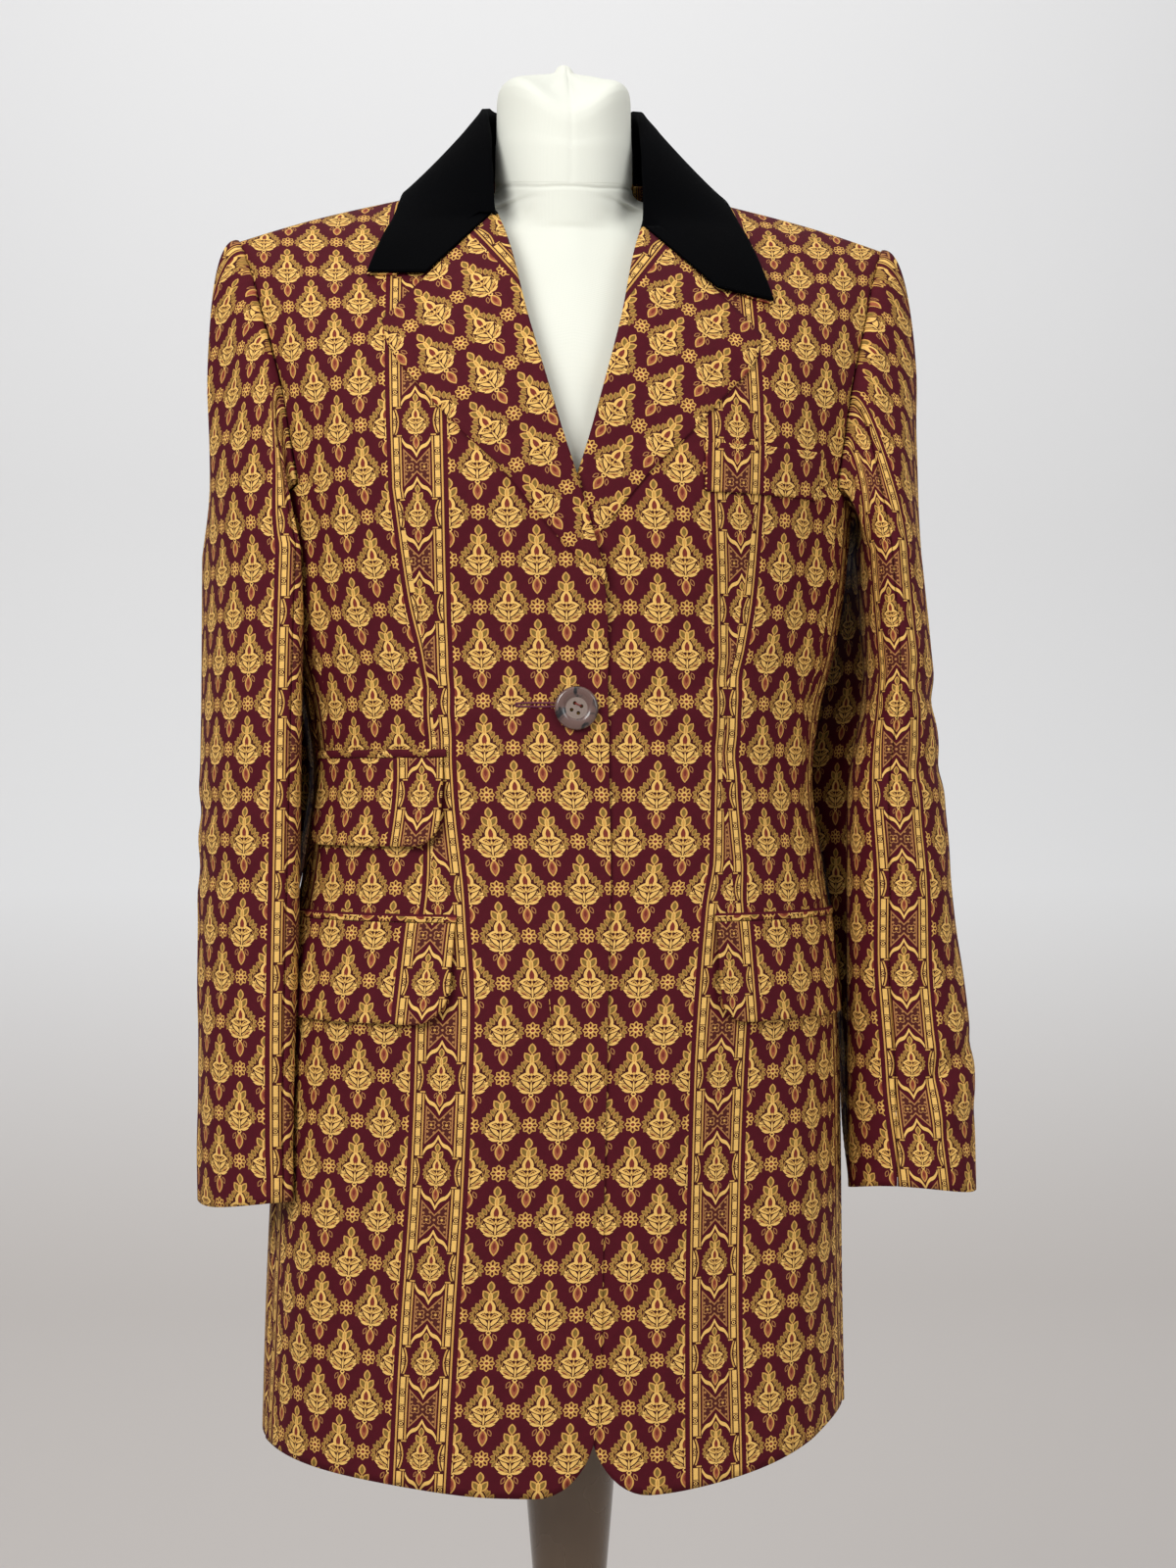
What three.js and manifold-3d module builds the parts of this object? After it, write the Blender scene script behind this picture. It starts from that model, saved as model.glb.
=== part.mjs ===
// A printed blazer with a velvet collar on a limbless dress form. Millimetres, +Z up, front at -Y.
// "right" and "left" are the wearer's: the wearer's right is at -X and lies on top at the front.
import * as THREE from "three";
import { mergeVertices } from "three/addons/utils/BufferGeometryUtils.js";
import Module from "manifold-3d";

const CLOTH = 1.6; // wall of the printed cloth and of the velvet
const UNDER = 1.2; // wall of the under collar
const SEAM = 0.3; // gap between pieces that are sewn together
const RIDGE_Y = 4; // the shoulder seam lies this far behind the middle of the body
const FRONT_FALL = 170; // height over which the front curves in to the shoulder seam
const BACK_FALL = 140; // the same for the back
const ROUNDNESS = 0.75; // below 1, the padded shoulder is rounder
const BUST = { x: 84, z: 1212, reach: 52, out: 8 };
const FRONT_SEAM_ANGLE = 76; // degrees round from the middle of the front
const BACK_SEAM_ANGLE = 118;
const SIDE_SEAM_TOP = 1214;
const SIDE_ROWS = 17;
const ARM_ROWS = 9;
const LAYER = CLOTH + SEAM;
const BUTTON = {
  z: 1081,
  radius: 13.3,
  thick: 4,
  rimWidth: 6.5,
  dish: 1.3,
  hole: 1,
  holeRing: 3.2,
};
const NECK = { half: 45, front: 56, back: 51 }; // of the form
// The neckline of the back: its middle, its half width, its drop to the shoulder seam, its share
// of the panel's width, and the share of the panel's height that the side seam takes.
const NAPE = { z: 1445, halfWidth: 75, rise: 17, share: 0.36, sideShare: 0.72 };

// The ring of the jacket by height: half width, depth to the front and back, squareness, sideways lean.
const BODY = [
  { z: 590, half: 191, front: 146, back: 137, power: 2.5, lean: -6.5 },
  { z: 700, half: 188.5, front: 143, back: 137, power: 2.5, lean: -6 },
  { z: 850, half: 184, front: 140, back: 136, power: 2.45, lean: -3 },
  { z: 940, half: 176.5, front: 136.5, back: 128, power: 2.4, lean: -1 },
  { z: 983, half: 170, front: 134.5, back: 119, power: 2.35, lean: 0 },
  { z: 1040, half: 163.5, front: 133, back: 109, power: 2.3, lean: 0 },
  { z: 1080, half: 168, front: 133, back: 107.5, power: 2.3, lean: 0 },
  { z: 1120, half: 178, front: 133, back: 110, power: 2.3, lean: 0 },
  { z: 1165, half: 185.5, front: 134, back: 115, power: 2.3, lean: 0 },
  { z: 1210, half: 189.5, front: 134, back: 119, power: 2.3, lean: 0 },
  { z: 1250, half: 193, front: 133, back: 121.5, power: 2.3, lean: 0 },
  { z: 1300, half: 203, front: 129, back: 122, power: 2.3, lean: 0 },
  { z: 1345, half: 213, front: 122, back: 120, power: 2.3, lean: 0 },
  { z: 1391, half: 224, front: 116, back: 118, power: 2.3, lean: 0 },
  { z: 1460, half: 238, front: 112, back: 116, power: 2.3, lean: 0 },
];
const SHOULDER_END = 212.6;
const SHOULDER = [
  { x: 0, z: 1446 },
  { x: 75, z: 1428 },
  { x: 110, z: 1419.5 },
  { x: 165, z: 1406 },
  { x: 212.6, z: 1391 },
  { x: 260, z: 1374 },
];
// The inner edge of a front: cutaway corner, front edge, roll line of the lapel, neckline.
const EDGE = [
  { z: 655, x: -18.5 },
  { z: 720, x: -21 },
  { z: 960, x: -21 },
  { z: 1100, x: -19.5 },
  { z: 1140, x: -19.2 },
  { z: 1157, x: -17 },
  { z: 1180, x: -10.5 },
  { z: 1211, x: -1.5 },
  { z: 1251, x: 11.4 },
  { z: 1314, x: 29 },
  { z: 1390, x: 47 },
  { z: 1400, x: 55.5 },
  { z: 1410, x: 62.5 },
  { z: 1419, x: 69 },
  { z: 1428, x: 75 },
];
// The lower front swings open under the one on top, so that its own corner shows at the hem.
const SWING = { by: 32, from: 1000 };
const EDGE_SEAM_TOP = 1205; // height of the front edge level with the top of the side seam
const EDGE_ARM_HEIGHTS = [1230, 1258, 1288, 1318, 1345, 1368, 1385, 1407, 1428];
// The hem and the rounded corner, by distance round the front from the front edge.
const HEM = {
  edge: 655,
  low: 605.5,
  cornerWidth: 37,
  cornerHeight: 49.5,
  side: 620,
  back: 617,
  girth: 195,
  sideRise: 16, // the hem hangs higher at the left side seam
};
const HEM_STEPS = [0, 2, 7, 14, 24, 37];
const ARMHOLE_FRONT = [
  { t: 0, x: 172.5, z: 1223 },
  { t: 1, x: 175, z: 1241 },
  { t: 2, x: 178.5, z: 1266 },
  { t: 3, x: 183, z: 1289 },
  { t: 4, x: 189.5, z: 1314 },
  { t: 5, x: 196.5, z: 1339 },
  { t: 6, x: 202.5, z: 1362 },
  { t: 7, x: 208, z: 1378 },
  { t: 8, x: 212.6, z: 1391 },
];
const ARMHOLE_BACK = [
  { t: 0, x: 177.5, z: 1223 },
  { t: 1, x: 178.5, z: 1242 },
  { t: 2, x: 181, z: 1266 },
  { t: 3, x: 185, z: 1289 },
  { t: 4, x: 190, z: 1312 },
  { t: 5, x: 196, z: 1336 },
  { t: 6, x: 202, z: 1359 },
  { t: 7, x: 208, z: 1377 },
  { t: 8, x: 212.6, z: 1391 },
];
const UNDERARM = [
  { angle: 76, z: 1214 },
  { angle: 83, z: 1210 },
  { angle: 90, z: 1208.5 },
  { angle: 97, z: 1208 },
  { angle: 104, z: 1208.5 },
  { angle: 111, z: 1210.5 },
  { angle: 118, z: 1214 },
];
// Outer edge of a lapel from where it starts to its tip.
const LAPEL_EDGE = [
  { t: 0, x: -15.2, z: 1160 },
  { t: 0.14, x: 6, z: 1179 },
  { t: 0.3, x: 27, z: 1203 },
  { t: 0.45, x: 46, z: 1226 },
  { t: 0.62, x: 70, z: 1249 },
  { t: 0.8, x: 95, z: 1277 },
  { t: 0.93, x: 113, z: 1300 },
  { t: 1, x: 118, z: 1318 },
];
const LAPEL_ROWS = 14;
const LAPEL_COLUMNS = 6;
const NOTCH_SHARE = 0.6; // of the gorge line from the roll to the lapel tip
// What sits higher on the wearer's right than on the left, as in the photo.
const HIGHER = { gorge: 5.3, lapelTip: 3, collarTip: 8.5 };
// The collar from its front end to the back: foot of the stand, roll, outer edge.
const COLLAR = [
  { s: 3, ax: 47, ay: -61, az: 1390, bx: 47, by: -61, bz: 1390, cx: 113, cy: -41, cz: 1391 },
  { s: 4, ax: 54, ay: -47, az: 1403, bx: 47.5, by: -49, bz: 1422, cx: 108.5, cy: -24, cz: 1407 },
  { s: 5, ax: 64, ay: -24, az: 1416, bx: 48, by: -27, bz: 1455, cx: 105.5, cy: -9, cz: 1416.5 },
  { s: 6, ax: 74, ay: 4, az: 1428, bx: 48.5, by: 2, bz: 1478, cx: 102, cy: 6, cz: 1421 },
  { s: 7, ax: 70, ay: 25, az: 1433, bx: 46, by: 26, bz: 1487, cx: 96, cy: 32, cz: 1418 },
  { s: 8, ax: 55, ay: 43, az: 1440, bx: 36, by: 47, bz: 1488, cx: 78, cy: 55, cz: 1424 },
  { s: 9, ax: 30, ay: 54, az: 1444, bx: 19, by: 59, bz: 1487, cx: 44, cy: 70, cz: 1432 },
  { s: 10, ax: 0, ay: 58, az: 1445, bx: 0, by: 63, bz: 1487, cx: 0, cy: 76, cz: 1436 },
];
const COLLAR_FOLD = 3.4; // radius of the face of the fold
// Sleeves by height: middle, half thickness, half depth and turn of the flattened ring.
const SLEEVE_RIGHT = [
  { z: 1185, x: 205, y: -8, thin: 25, deep: 72, turn: 20, curl: 9 },
  { z: 1100, x: 205.5, y: -14, thin: 25.5, deep: 66, turn: 20, curl: 9 },
  { z: 1000, x: 206, y: -20, thin: 27, deep: 61, turn: 20, curl: 9 },
  { z: 900, x: 206.5, y: -26, thin: 28, deep: 56, turn: 20, curl: 9 },
  { z: 830, x: 206, y: -32, thin: 29, deep: 53, turn: 20, curl: 9 },
  { z: 769, x: 204.5, y: -37.5, thin: 29.5, deep: 50.5, turn: 20, curl: 9 },
];
const SLEEVE_LEFT = [
  { z: 1185, x: 214.5, y: -5, thin: 22, deep: 74, turn: 6, curl: 3 },
  { z: 1100, x: 220.5, y: -10, thin: 23, deep: 68, turn: 7, curl: 3 },
  { z: 1035, x: 218, y: -16, thin: 31, deep: 60, turn: 12, curl: 3 },
  { z: 971, x: 220, y: -22, thin: 35, deep: 54, turn: 15, curl: 3 },
  { z: 907, x: 222.5, y: -28, thin: 38, deep: 49, turn: 20, curl: 3 },
  { z: 843, x: 224.5, y: -33, thin: 41, deep: 45, turn: 20, curl: 3 },
  { z: 773, x: 224.5, y: -38, thin: 41.5, deep: 42, turn: 20, curl: 3 },
];
// How far the slack of the under sleeve lies inwards behind the body, by height.
const SLACK_RIGHT = [
  { z: 1185, by: 0 },
  { z: 1120, by: 40 },
  { z: 1040, by: 62 },
  { z: 900, by: 45 },
  { z: 830, by: 12 },
  { z: 760, by: 0 },
];
const SLACK_LEFT = [
  { z: 1185, by: 0 },
  { z: 1120, by: 42 },
  { z: 1040, by: 64 },
  { z: 960, by: 58 },
  { z: 880, by: 30 },
  { z: 770, by: 0 },
];
const SLEEVE_CAP_ROWS = 7;
const SLEEVE_ROWS = 10;
const SLEEVE_CLEAR = 4.5;
// Pocket pieces by distance round from the middle of the front.
const POCKETS = {
  flapRight: { side: -1, from: 75, to: 218, top: 950.5, bottom: 889, round: 20, off: 0.7 },
  flapLeft: { side: 1, from: 86, to: 229, top: 950.5, bottom: 889, round: 16, off: 0.7 },
  ticket: { side: -1, from: 82, to: 190, top: 1051, bottom: 996.5, round: 14, off: 1 },
  welt: { side: 1, from: 79, to: 168, top: 1243, bottom: 1213, round: 0, off: 0.4 },
};
const JET_HEIGHT = 5;
const FORM_GAP = { side: 9, front: 9, back: 14, ridge: 3, shoulder: 4, neck: 9 };
const FORM_ROWS = [
  668, 690, 760, 850, 940, 1000, 1060, 1120, 1180, 1230, 1275,
  1315, 1345, 1366, 1382, 1394, 1404, 1412, 1419, 1429, 1440,
];
// How far the limbless form reaches to the side, where it stays out of the armholes.
const FORM_SIDE = [
  { z: 660, x: 178 },
  { z: 1180, x: 174 },
  { z: 1230, x: 171 },
  { z: 1300, x: 175 },
  { z: 1345, x: 184 },
  { z: 1375, x: 188 },
  { z: 1440, x: 190 },
];
const FORM_ACROSS = 10; // columns over half of a ring of the form
const HANG_X = -4; // the form sits this far to the side of the column's axis
const COLUMN_PROFILE = [
  { r: 0, z: 30 },
  { r: 14, z: 30 },
  { r: 14, z: 380 },
  { r: 17, z: 430 },
  { r: 24.5, z: 518 },
  { r: 28.8, z: 570 },
  { r: 33, z: 630 },
  { r: 35, z: 667.7 },
  { r: 0, z: 667.7 },
];
const FOOT_PROFILE = [
  { r: 0, z: 0 },
  { r: 150, z: 0 },
  { r: 150, z: 6 },
  { r: 145, z: 11 },
  { r: 60, z: 19 },
  { r: 26, z: 25 },
  { r: 24, z: 29.7 },
  { r: 0, z: 29.7 },
];
const NECK_PROFILE = [
  { r: 0, z: 1440.3 },
  { r: 1, z: 1440.3 },
  { r: 0.99, z: 1470 },
  { r: 0.985, z: 1486 },
  { r: 0.94, z: 1492 },
  { r: 0.8, z: 1497 },
  { r: 0.5, z: 1500.5 },
  { r: 0.16, z: 1502 },
  { r: 0.14, z: 1505.5 },
  { r: 0, z: 1506.5 },
];

const colours = { cloth: 0x5a182c, velvet: 0x0a0c12, horn: 0x5a4a46, jersey: 0xe4e6de, bronze: 0x6a5b48 };

const smooth = (v, from, to) => THREE.MathUtils.smoothstep(v, from, to);
const rad = THREE.MathUtils.degToRad;
const lerp = THREE.MathUtils.lerp;
const clamp = THREE.MathUtils.clamp;

// The value of one column of a table between two of its rows, as a smooth curve.
function along(table, key, at, column) {
  const last = table.length - 1;
  const rising = table[last][key] > table[0][key];
  const ahead = (a, b) => (rising ? a >= b : a <= b);
  let i = 0;
  while (i < last - 1 && ahead(at, table[i + 1][key])) i++;
  const slope = (a, b) => (table[b][column] - table[a][column]) / (table[b][key] - table[a][key]);
  const tangent = (n) => {
    if (n === 0) return slope(0, 1);
    if (n === last) return slope(last - 1, last);
    const before = slope(n - 1, n);
    const after = slope(n, n + 1);
    return before * after <= 0 ? 0 : (2 * before * after) / (before + after);
  };
  const width = table[i + 1][key] - table[i][key];
  const t = clamp((at - table[i][key]) / width, 0, 1);
  const t2 = t * t;
  const t3 = t2 * t;
  return (
    (2 * t3 - 3 * t2 + 1) * table[i][column] +
    (t3 - 2 * t2 + t) * width * tangent(i) +
    (3 * t2 - 2 * t3) * table[i + 1][column] +
    (t3 - t2) * width * tangent(i + 1)
  );
}

// The body at a distance from the middle and a height, in front of or behind the shoulder seam.
function ring(x, z, back, form) {
  const cut = form ? FORM_GAP : { side: 0, front: 0, back: 0, ridge: 0 };
  const nape = (form ? 20 : 30) * (1 - Math.min(1, (x / 75) ** 4));
  const dip = form ? cut.shoulder + cut.neck * (1 - smooth(x, 90, 140)) : 0;
  const line = along(SHOULDER, "x", Math.min(260, x), "z") + (back ? nape : 0) - dip;
  const h = clamp((line - z) / (back ? BACK_FALL : FRONT_FALL), 0, 1);
  const bust = BUST.out * Math.exp(-(((x - BUST.x) / BUST.reach) ** 2) - ((z - BUST.z) / BUST.reach) ** 2);
  const depth = along(BODY, "z", z, back ? "back" : "front") + (back ? 0 : bust);
  const eased = cut.ridge + ((back ? cut.back : cut.front) - cut.ridge) * smooth(h, 0, 0.5);
  return {
    half: along(BODY, "z", z, "half") - cut.side,
    power: along(BODY, "z", z, "power"),
    depth: depth - eased,
    close: Math.sin((Math.PI / 2) * h ** ROUNDNESS),
    line,
    h,
  };
}

function surfaceY(x, z, back, form) {
  const r = ring(Math.abs(x), z, back, form);
  const round = Math.max(0, 1 - (Math.abs(x) / r.half) ** r.power) ** (1 / r.power);
  const y = r.depth * round * r.close;
  return RIDGE_Y + (back ? y : -y);
}

// Above 0 outside the body, with a gradient that is smooth over the shoulder and round the side.
function outside(x, y, z) {
  const ax = Math.abs(x);
  const back = y > RIDGE_Y;
  const r = ring(ax, z, back, false);
  const dy = Math.abs(y - RIDGE_Y);
  const nearTop = r.h < 0.55;
  if (nearTop) {
    const round = Math.max(1e-4, 1 - (ax / r.half) ** r.power) ** (1 / r.power);
    const ratio = Math.min(0.9999, dy / (r.depth * round));
    const fall = back ? BACK_FALL : FRONT_FALL;
    return ((2 / Math.PI) * Math.asin(ratio)) ** (1 / ROUNDNESS) - (r.line - z) / fall;
  }
  return ((ax / r.half) ** r.power + (dy / (r.depth * r.close)) ** r.power) ** (1 / r.power) - 1;
}

function normalAt(p) {
  const e = 0.4;
  const n = new THREE.Vector3(
    outside(p.x + e, p.y, p.z) - outside(p.x - e, p.y, p.z),
    outside(p.x, p.y + e, p.z) - outside(p.x, p.y - e, p.z),
    outside(p.x, p.y, p.z + e) - outside(p.x, p.y, p.z - e),
  );
  return n.normalize();
}

// A point of the body from its angle round the ring in degrees, for a body that doesn't lean.
function atAngle(angle, z) {
  const r = ring(0, z, false, false);
  const s = Math.sin(rad(angle));
  const x = Math.sign(s) * r.half * Math.abs(s) ** (2 / r.power);
  return new THREE.Vector3(x, surfaceY(x, z, angle > 90, false), z);
}

function angleOf(x, z, back) {
  const r = ring(Math.abs(x), z, back, false);
  const share = Math.min(1, Math.abs(x) / r.half) ** (r.power / 2);
  const angle = Math.sign(x) * THREE.MathUtils.radToDeg(Math.asin(share));
  return back ? 180 - angle : angle;
}

// A closed wall between a face and the same rows moved in along the normals.
function wall(face, inner) {
  const rows = face.length;
  const columns = face[0].length;
  const points = [...face.flat(), ...inner.flat()];
  const half = rows * columns;
  const index = [];
  const quad = (a, b, c, d) => index.push(a, b, c, a, c, d);
  for (let i = 0; i < rows - 1; i++) {
    for (let j = 0; j < columns - 1; j++) {
      const a = i * columns + j;
      quad(a, a + 1, a + columns + 1, a + columns);
      quad(half + a + columns, half + a + columns + 1, half + a + 1, half + a);
    }
  }
  const rim = (a, b) => quad(b, a, half + a, half + b);
  for (let j = 0; j < columns - 1; j++) {
    rim(j, j + 1);
    rim((rows - 1) * columns + j + 1, (rows - 1) * columns + j);
  }
  for (let i = 0; i < rows - 1; i++) {
    rim((i + 1) * columns, i * columns);
    rim(i * columns + columns - 1, (i + 1) * columns + columns - 1);
  }
  return closed(points, index);
}

// A geometry of these triangles, turned to face outwards.
function closed(points, index) {
  let volume = 0;
  for (let i = 0; i < index.length; i += 3) {
    const [a, b, c] = [points[index[i]], points[index[i + 1]], points[index[i + 2]]];
    volume += a.dot(new THREE.Vector3().crossVectors(b, c));
  }
  if (volume < 0) index.reverse();
  const geometry = new THREE.BufferGeometry().setFromPoints(points);
  geometry.setIndex(index);
  geometry.computeVertexNormals();
  return geometry;
}

// Moves a point of the upright body out to one side of the wearer, with the lean of its height.
function placed(p, side) {
  return new THREE.Vector3(side * p.x + along(BODY, "z", p.z, "lean"), p.y, p.z);
}

// Straight up from the shoulder seam.
function shoulderNormal(x) {
  const slope = along(SHOULDER, "x", x + 1, "z") - along(SHOULDER, "x", x - 1, "z");
  return new THREE.Vector3(-slope / 2, 0, 1).normalize();
}

function lifted(p, normal, by) {
  return p.clone().addScaledVector(normal, by);
}

// How far the face of a front stands off the body: the inner front is pressed in where the other
// front lies on it, and the outer front rises over the lapel that is folded under it.
function frontLift(x, z, side) {
  const near = 1 - smooth(x, 25, 70);
  if (side > 0) return -LAYER * near * (1 - smooth(z, 1215, 1290));
  return LAYER * near * smooth(z, 1100, 1150) * (1 - smooth(z, 1222, 1300));
}

function edgeShift(z, side) {
  return -side * HIGHER.gorge * smooth(z, 1300, 1388) * (1 - smooth(z, 1392, 1426));
}

// A patch of the body between four edges given as angle and height.
function patch(left, right, bottom, top) {
  const rows = left.length;
  const columns = bottom.length;
  const grid = [];
  for (let i = 0; i < rows; i++) {
    const v = i / (rows - 1);
    const row = [];
    for (let j = 0; j < columns; j++) {
      const u = bottom[j].share;
      const mix = (k) =>
        (1 - v) * bottom[j][k] +
        v * top[j][k] +
        (1 - u) * left[i][k] +
        u * right[i][k] -
        (1 - u) * ((1 - v) * bottom[0][k] + v * top[0][k]) -
        u * ((1 - v) * bottom[columns - 1][k] + v * top[columns - 1][k]);
      row.push({ angle: mix("angle"), z: mix("z") });
    }
    grid.push(row);
  }
  return grid;
}

function sideSeam(angle, hem) {
  return Array.from({ length: SIDE_ROWS + 1 }, (_, i) => ({
    angle,
    z: hem + ((SIDE_SEAM_TOP - hem) * i) / SIDE_ROWS,
  }));
}

function armhole(table, back) {
  return Array.from({ length: ARM_ROWS }, (_, i) => {
    const t = (8 * i) / (ARM_ROWS - 1);
    const z = along(table, "t", t, "z");
    return { angle: angleOf(along(table, "t", t, "x"), z, back), z };
  });
}

// Turns rows of angle and height into the face and the inside of a wall on the body.
function panelWall(grid, side, lift, ease) {
  const face = [];
  const inner = [];
  for (const row of grid) {
    const faceRow = [];
    const innerRow = [];
    for (const cell of row) {
      const p = atAngle(cell.angle, cell.z);
      const onSeam = ease ? ease(p, cell) : false;
      const n = onSeam ? shoulderNormal(p.x) : normalAt(p);
      const by = lift(p);
      faceRow.push(placed(lifted(p, n, by), side));
      innerRow.push(placed(lifted(p, n, by - CLOTH), side));
    }
    face.push(faceRow);
    inner.push(innerRow);
  }
  return { face, inner, geometry: wall(face, inner) };
}

const HALF_SEAM_ANGLE = 0.05; // degrees, half of the gap at a side seam

function hemSide(side) {
  return HEM.side + (side > 0 ? HEM.sideRise : 0);
}

function frontEdge(z, side) {
  const open = side > 0 ? SWING.by * (1 - smooth(z, HEM.edge, SWING.from)) : 0;
  return along(EDGE, "z", z, "x") + open;
}

function frontPanel(side) {
  const rightEdge = [
    ...sideSeam(FRONT_SEAM_ANGLE - HALF_SEAM_ANGLE, hemSide(side)),
    ...armhole(ARMHOLE_FRONT, false),
  ];
  const seamHeights = Array.from(
    { length: SIDE_ROWS + 1 },
    (_, i) => HEM.edge + ((EDGE_SEAM_TOP - HEM.edge) * i) / SIDE_ROWS,
  );
  const leftEdge = [...seamHeights, ...EDGE_ARM_HEIGHTS].map((z) => {
    const height = z + edgeShift(z, side);
    return { angle: angleOf(frontEdge(z, side), height, false), z: height };
  });
  const girth = HEM.girth;
  const steps = [...HEM_STEPS];
  for (let k = 1; k <= 6; k++) steps.push(HEM.cornerWidth + ((girth - HEM.cornerWidth) * k) / 6);
  const bottom = steps.map((s) => {
    const c = Math.max(0, 1 - s / HEM.cornerWidth);
    const corner = HEM.cornerHeight * (1 - Math.sqrt(1 - c * c));
    const climb = (hemSide(side) - HEM.low) * smooth(s, HEM.cornerWidth, girth);
    const x = frontEdge(HEM.edge, side) + s;
    const share = s / girth;
    const far = leftEdge[0].angle + (FRONT_SEAM_ANGLE - HALF_SEAM_ANGLE - leftEdge[0].angle) * share;
    const z = HEM.low + corner + climb;
    const near = angleOf(Math.min(x, 150), z, false);
    const angle = lerp(near, far, smooth(s, 40, girth));
    return { share, angle, z };
  });
  const top = bottom.map(({ share }) => {
    const x = lerp(NAPE.halfWidth, SHOULDER_END, share);
    const z = along(SHOULDER, "x", x, "z");
    return { share, angle: angleOf(x, z, false), z };
  });
  const grid = patch(leftEdge, rightEdge, bottom, top);
  return panelWall(grid, side, (p) => frontLift(p.x, p.z, side), (p, cell) => {
    const line = along(SHOULDER, "x", Math.abs(p.x), "z");
    const onSeam = grid[grid.length - 1].includes(cell);
    if (onSeam) p.set(p.x, RIDGE_Y - SEAM / 2, line);
    p.y = Math.min(p.y, RIDGE_Y - SEAM / 2);
    return onSeam;
  });
}

function sidePanel(side) {
  const leftEdge = sideSeam(FRONT_SEAM_ANGLE + HALF_SEAM_ANGLE, hemSide(side));
  const rightEdge = sideSeam(BACK_SEAM_ANGLE - HALF_SEAM_ANGLE, hemSide(side));
  const span = BACK_SEAM_ANGLE - FRONT_SEAM_ANGLE;
  const cut = (angle) => clamp(angle, leftEdge[0].angle, rightEdge[0].angle);
  const bottom = UNDERARM.map(({ angle }) => ({
    share: (angle - FRONT_SEAM_ANGLE) / span,
    angle: cut(angle),
    z: hemSide(side),
  }));
  const top = UNDERARM.map(({ angle, z }) => ({ share: 0, angle: cut(angle), z }));
  return panelWall(patch(leftEdge, rightEdge, bottom, top), side, () => 0);
}

function backPanel(side) {
  const rightEdge = [
    ...sideSeam(BACK_SEAM_ANGLE + HALF_SEAM_ANGLE, hemSide(side)),
    ...armhole(ARMHOLE_BACK, true),
  ];
  const armRows = rightEdge.length - 1 - SIDE_ROWS;
  const { z: napeZ, halfWidth, rise, share: neckShare, sideShare } = NAPE;
  const leftEdge = rightEdge.map((_, i) => {
    const below = (sideShare * i) / SIDE_ROWS;
    const above = sideShare + ((1 - sideShare) * (i - SIDE_ROWS)) / armRows;
    return { angle: 180, z: HEM.back + (napeZ - HEM.back) * (i <= SIDE_ROWS ? below : above) };
  });
  const shares = [0, 0.09, 0.18, 0.27, neckShare, 0.52, 0.68, 0.84, 1];
  const bottom = shares.map((share) => ({
    share,
    angle: 180 + (BACK_SEAM_ANGLE + HALF_SEAM_ANGLE - 180) * share,
    z: HEM.back + (hemSide(side) - HEM.back) * smooth(share, 0, 1),
  }));
  const top = shares.map((share) => {
    const onShoulder = (share - neckShare) / (1 - neckShare);
    const atNeck = share <= neckShare;
    const x = atNeck ? (halfWidth * share) / neckShare : lerp(halfWidth, SHOULDER_END, onShoulder);
    const seam = along(SHOULDER, "x", x, "z");
    const z = share < neckShare ? napeZ - rise + rise * Math.sqrt(1 - (x / halfWidth) ** 2) : seam;
    return { share, angle: angleOf(x, z, true), z };
  });
  const grid = patch(leftEdge, rightEdge, bottom, top);
  return panelWall(grid, side, () => 0, (p, cell) => {
    const row = grid.findIndex((r) => r.includes(cell));
    const column = grid[row].indexOf(cell);
    if (column === 0) p.x = SEAM / 2;
    const line = along(SHOULDER, "x", Math.abs(p.x), "z");
    const onSeam = row === grid.length - 1 && shares[column] >= neckShare;
    if (onSeam) p.set(p.x, RIDGE_Y + SEAM / 2, line);
    p.y = Math.max(p.y, RIDGE_Y + SEAM / 2);
    return onSeam;
  });
}

function surfacePoint(x, z, back) {
  return new THREE.Vector3(x, surfaceY(x, z, back, false), z);
}

function between(a, b, share) {
  return { x: lerp(a.x, b.x, share), z: lerp(a.z, b.z, share) };
}

function rollPoint(t, side) {
  const z = lerp(1158, 1390, t);
  return { x: along(EDGE, "z", z, "x"), z: z + edgeShift(z, side) };
}

function lapelEdge(t, side) {
  const rise = -side * HIGHER.lapelTip * smooth(t, 0.7, 1);
  return { x: along(LAPEL_EDGE, "t", t, "x"), z: along(LAPEL_EDGE, "t", t, "z") + rise };
}

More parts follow.
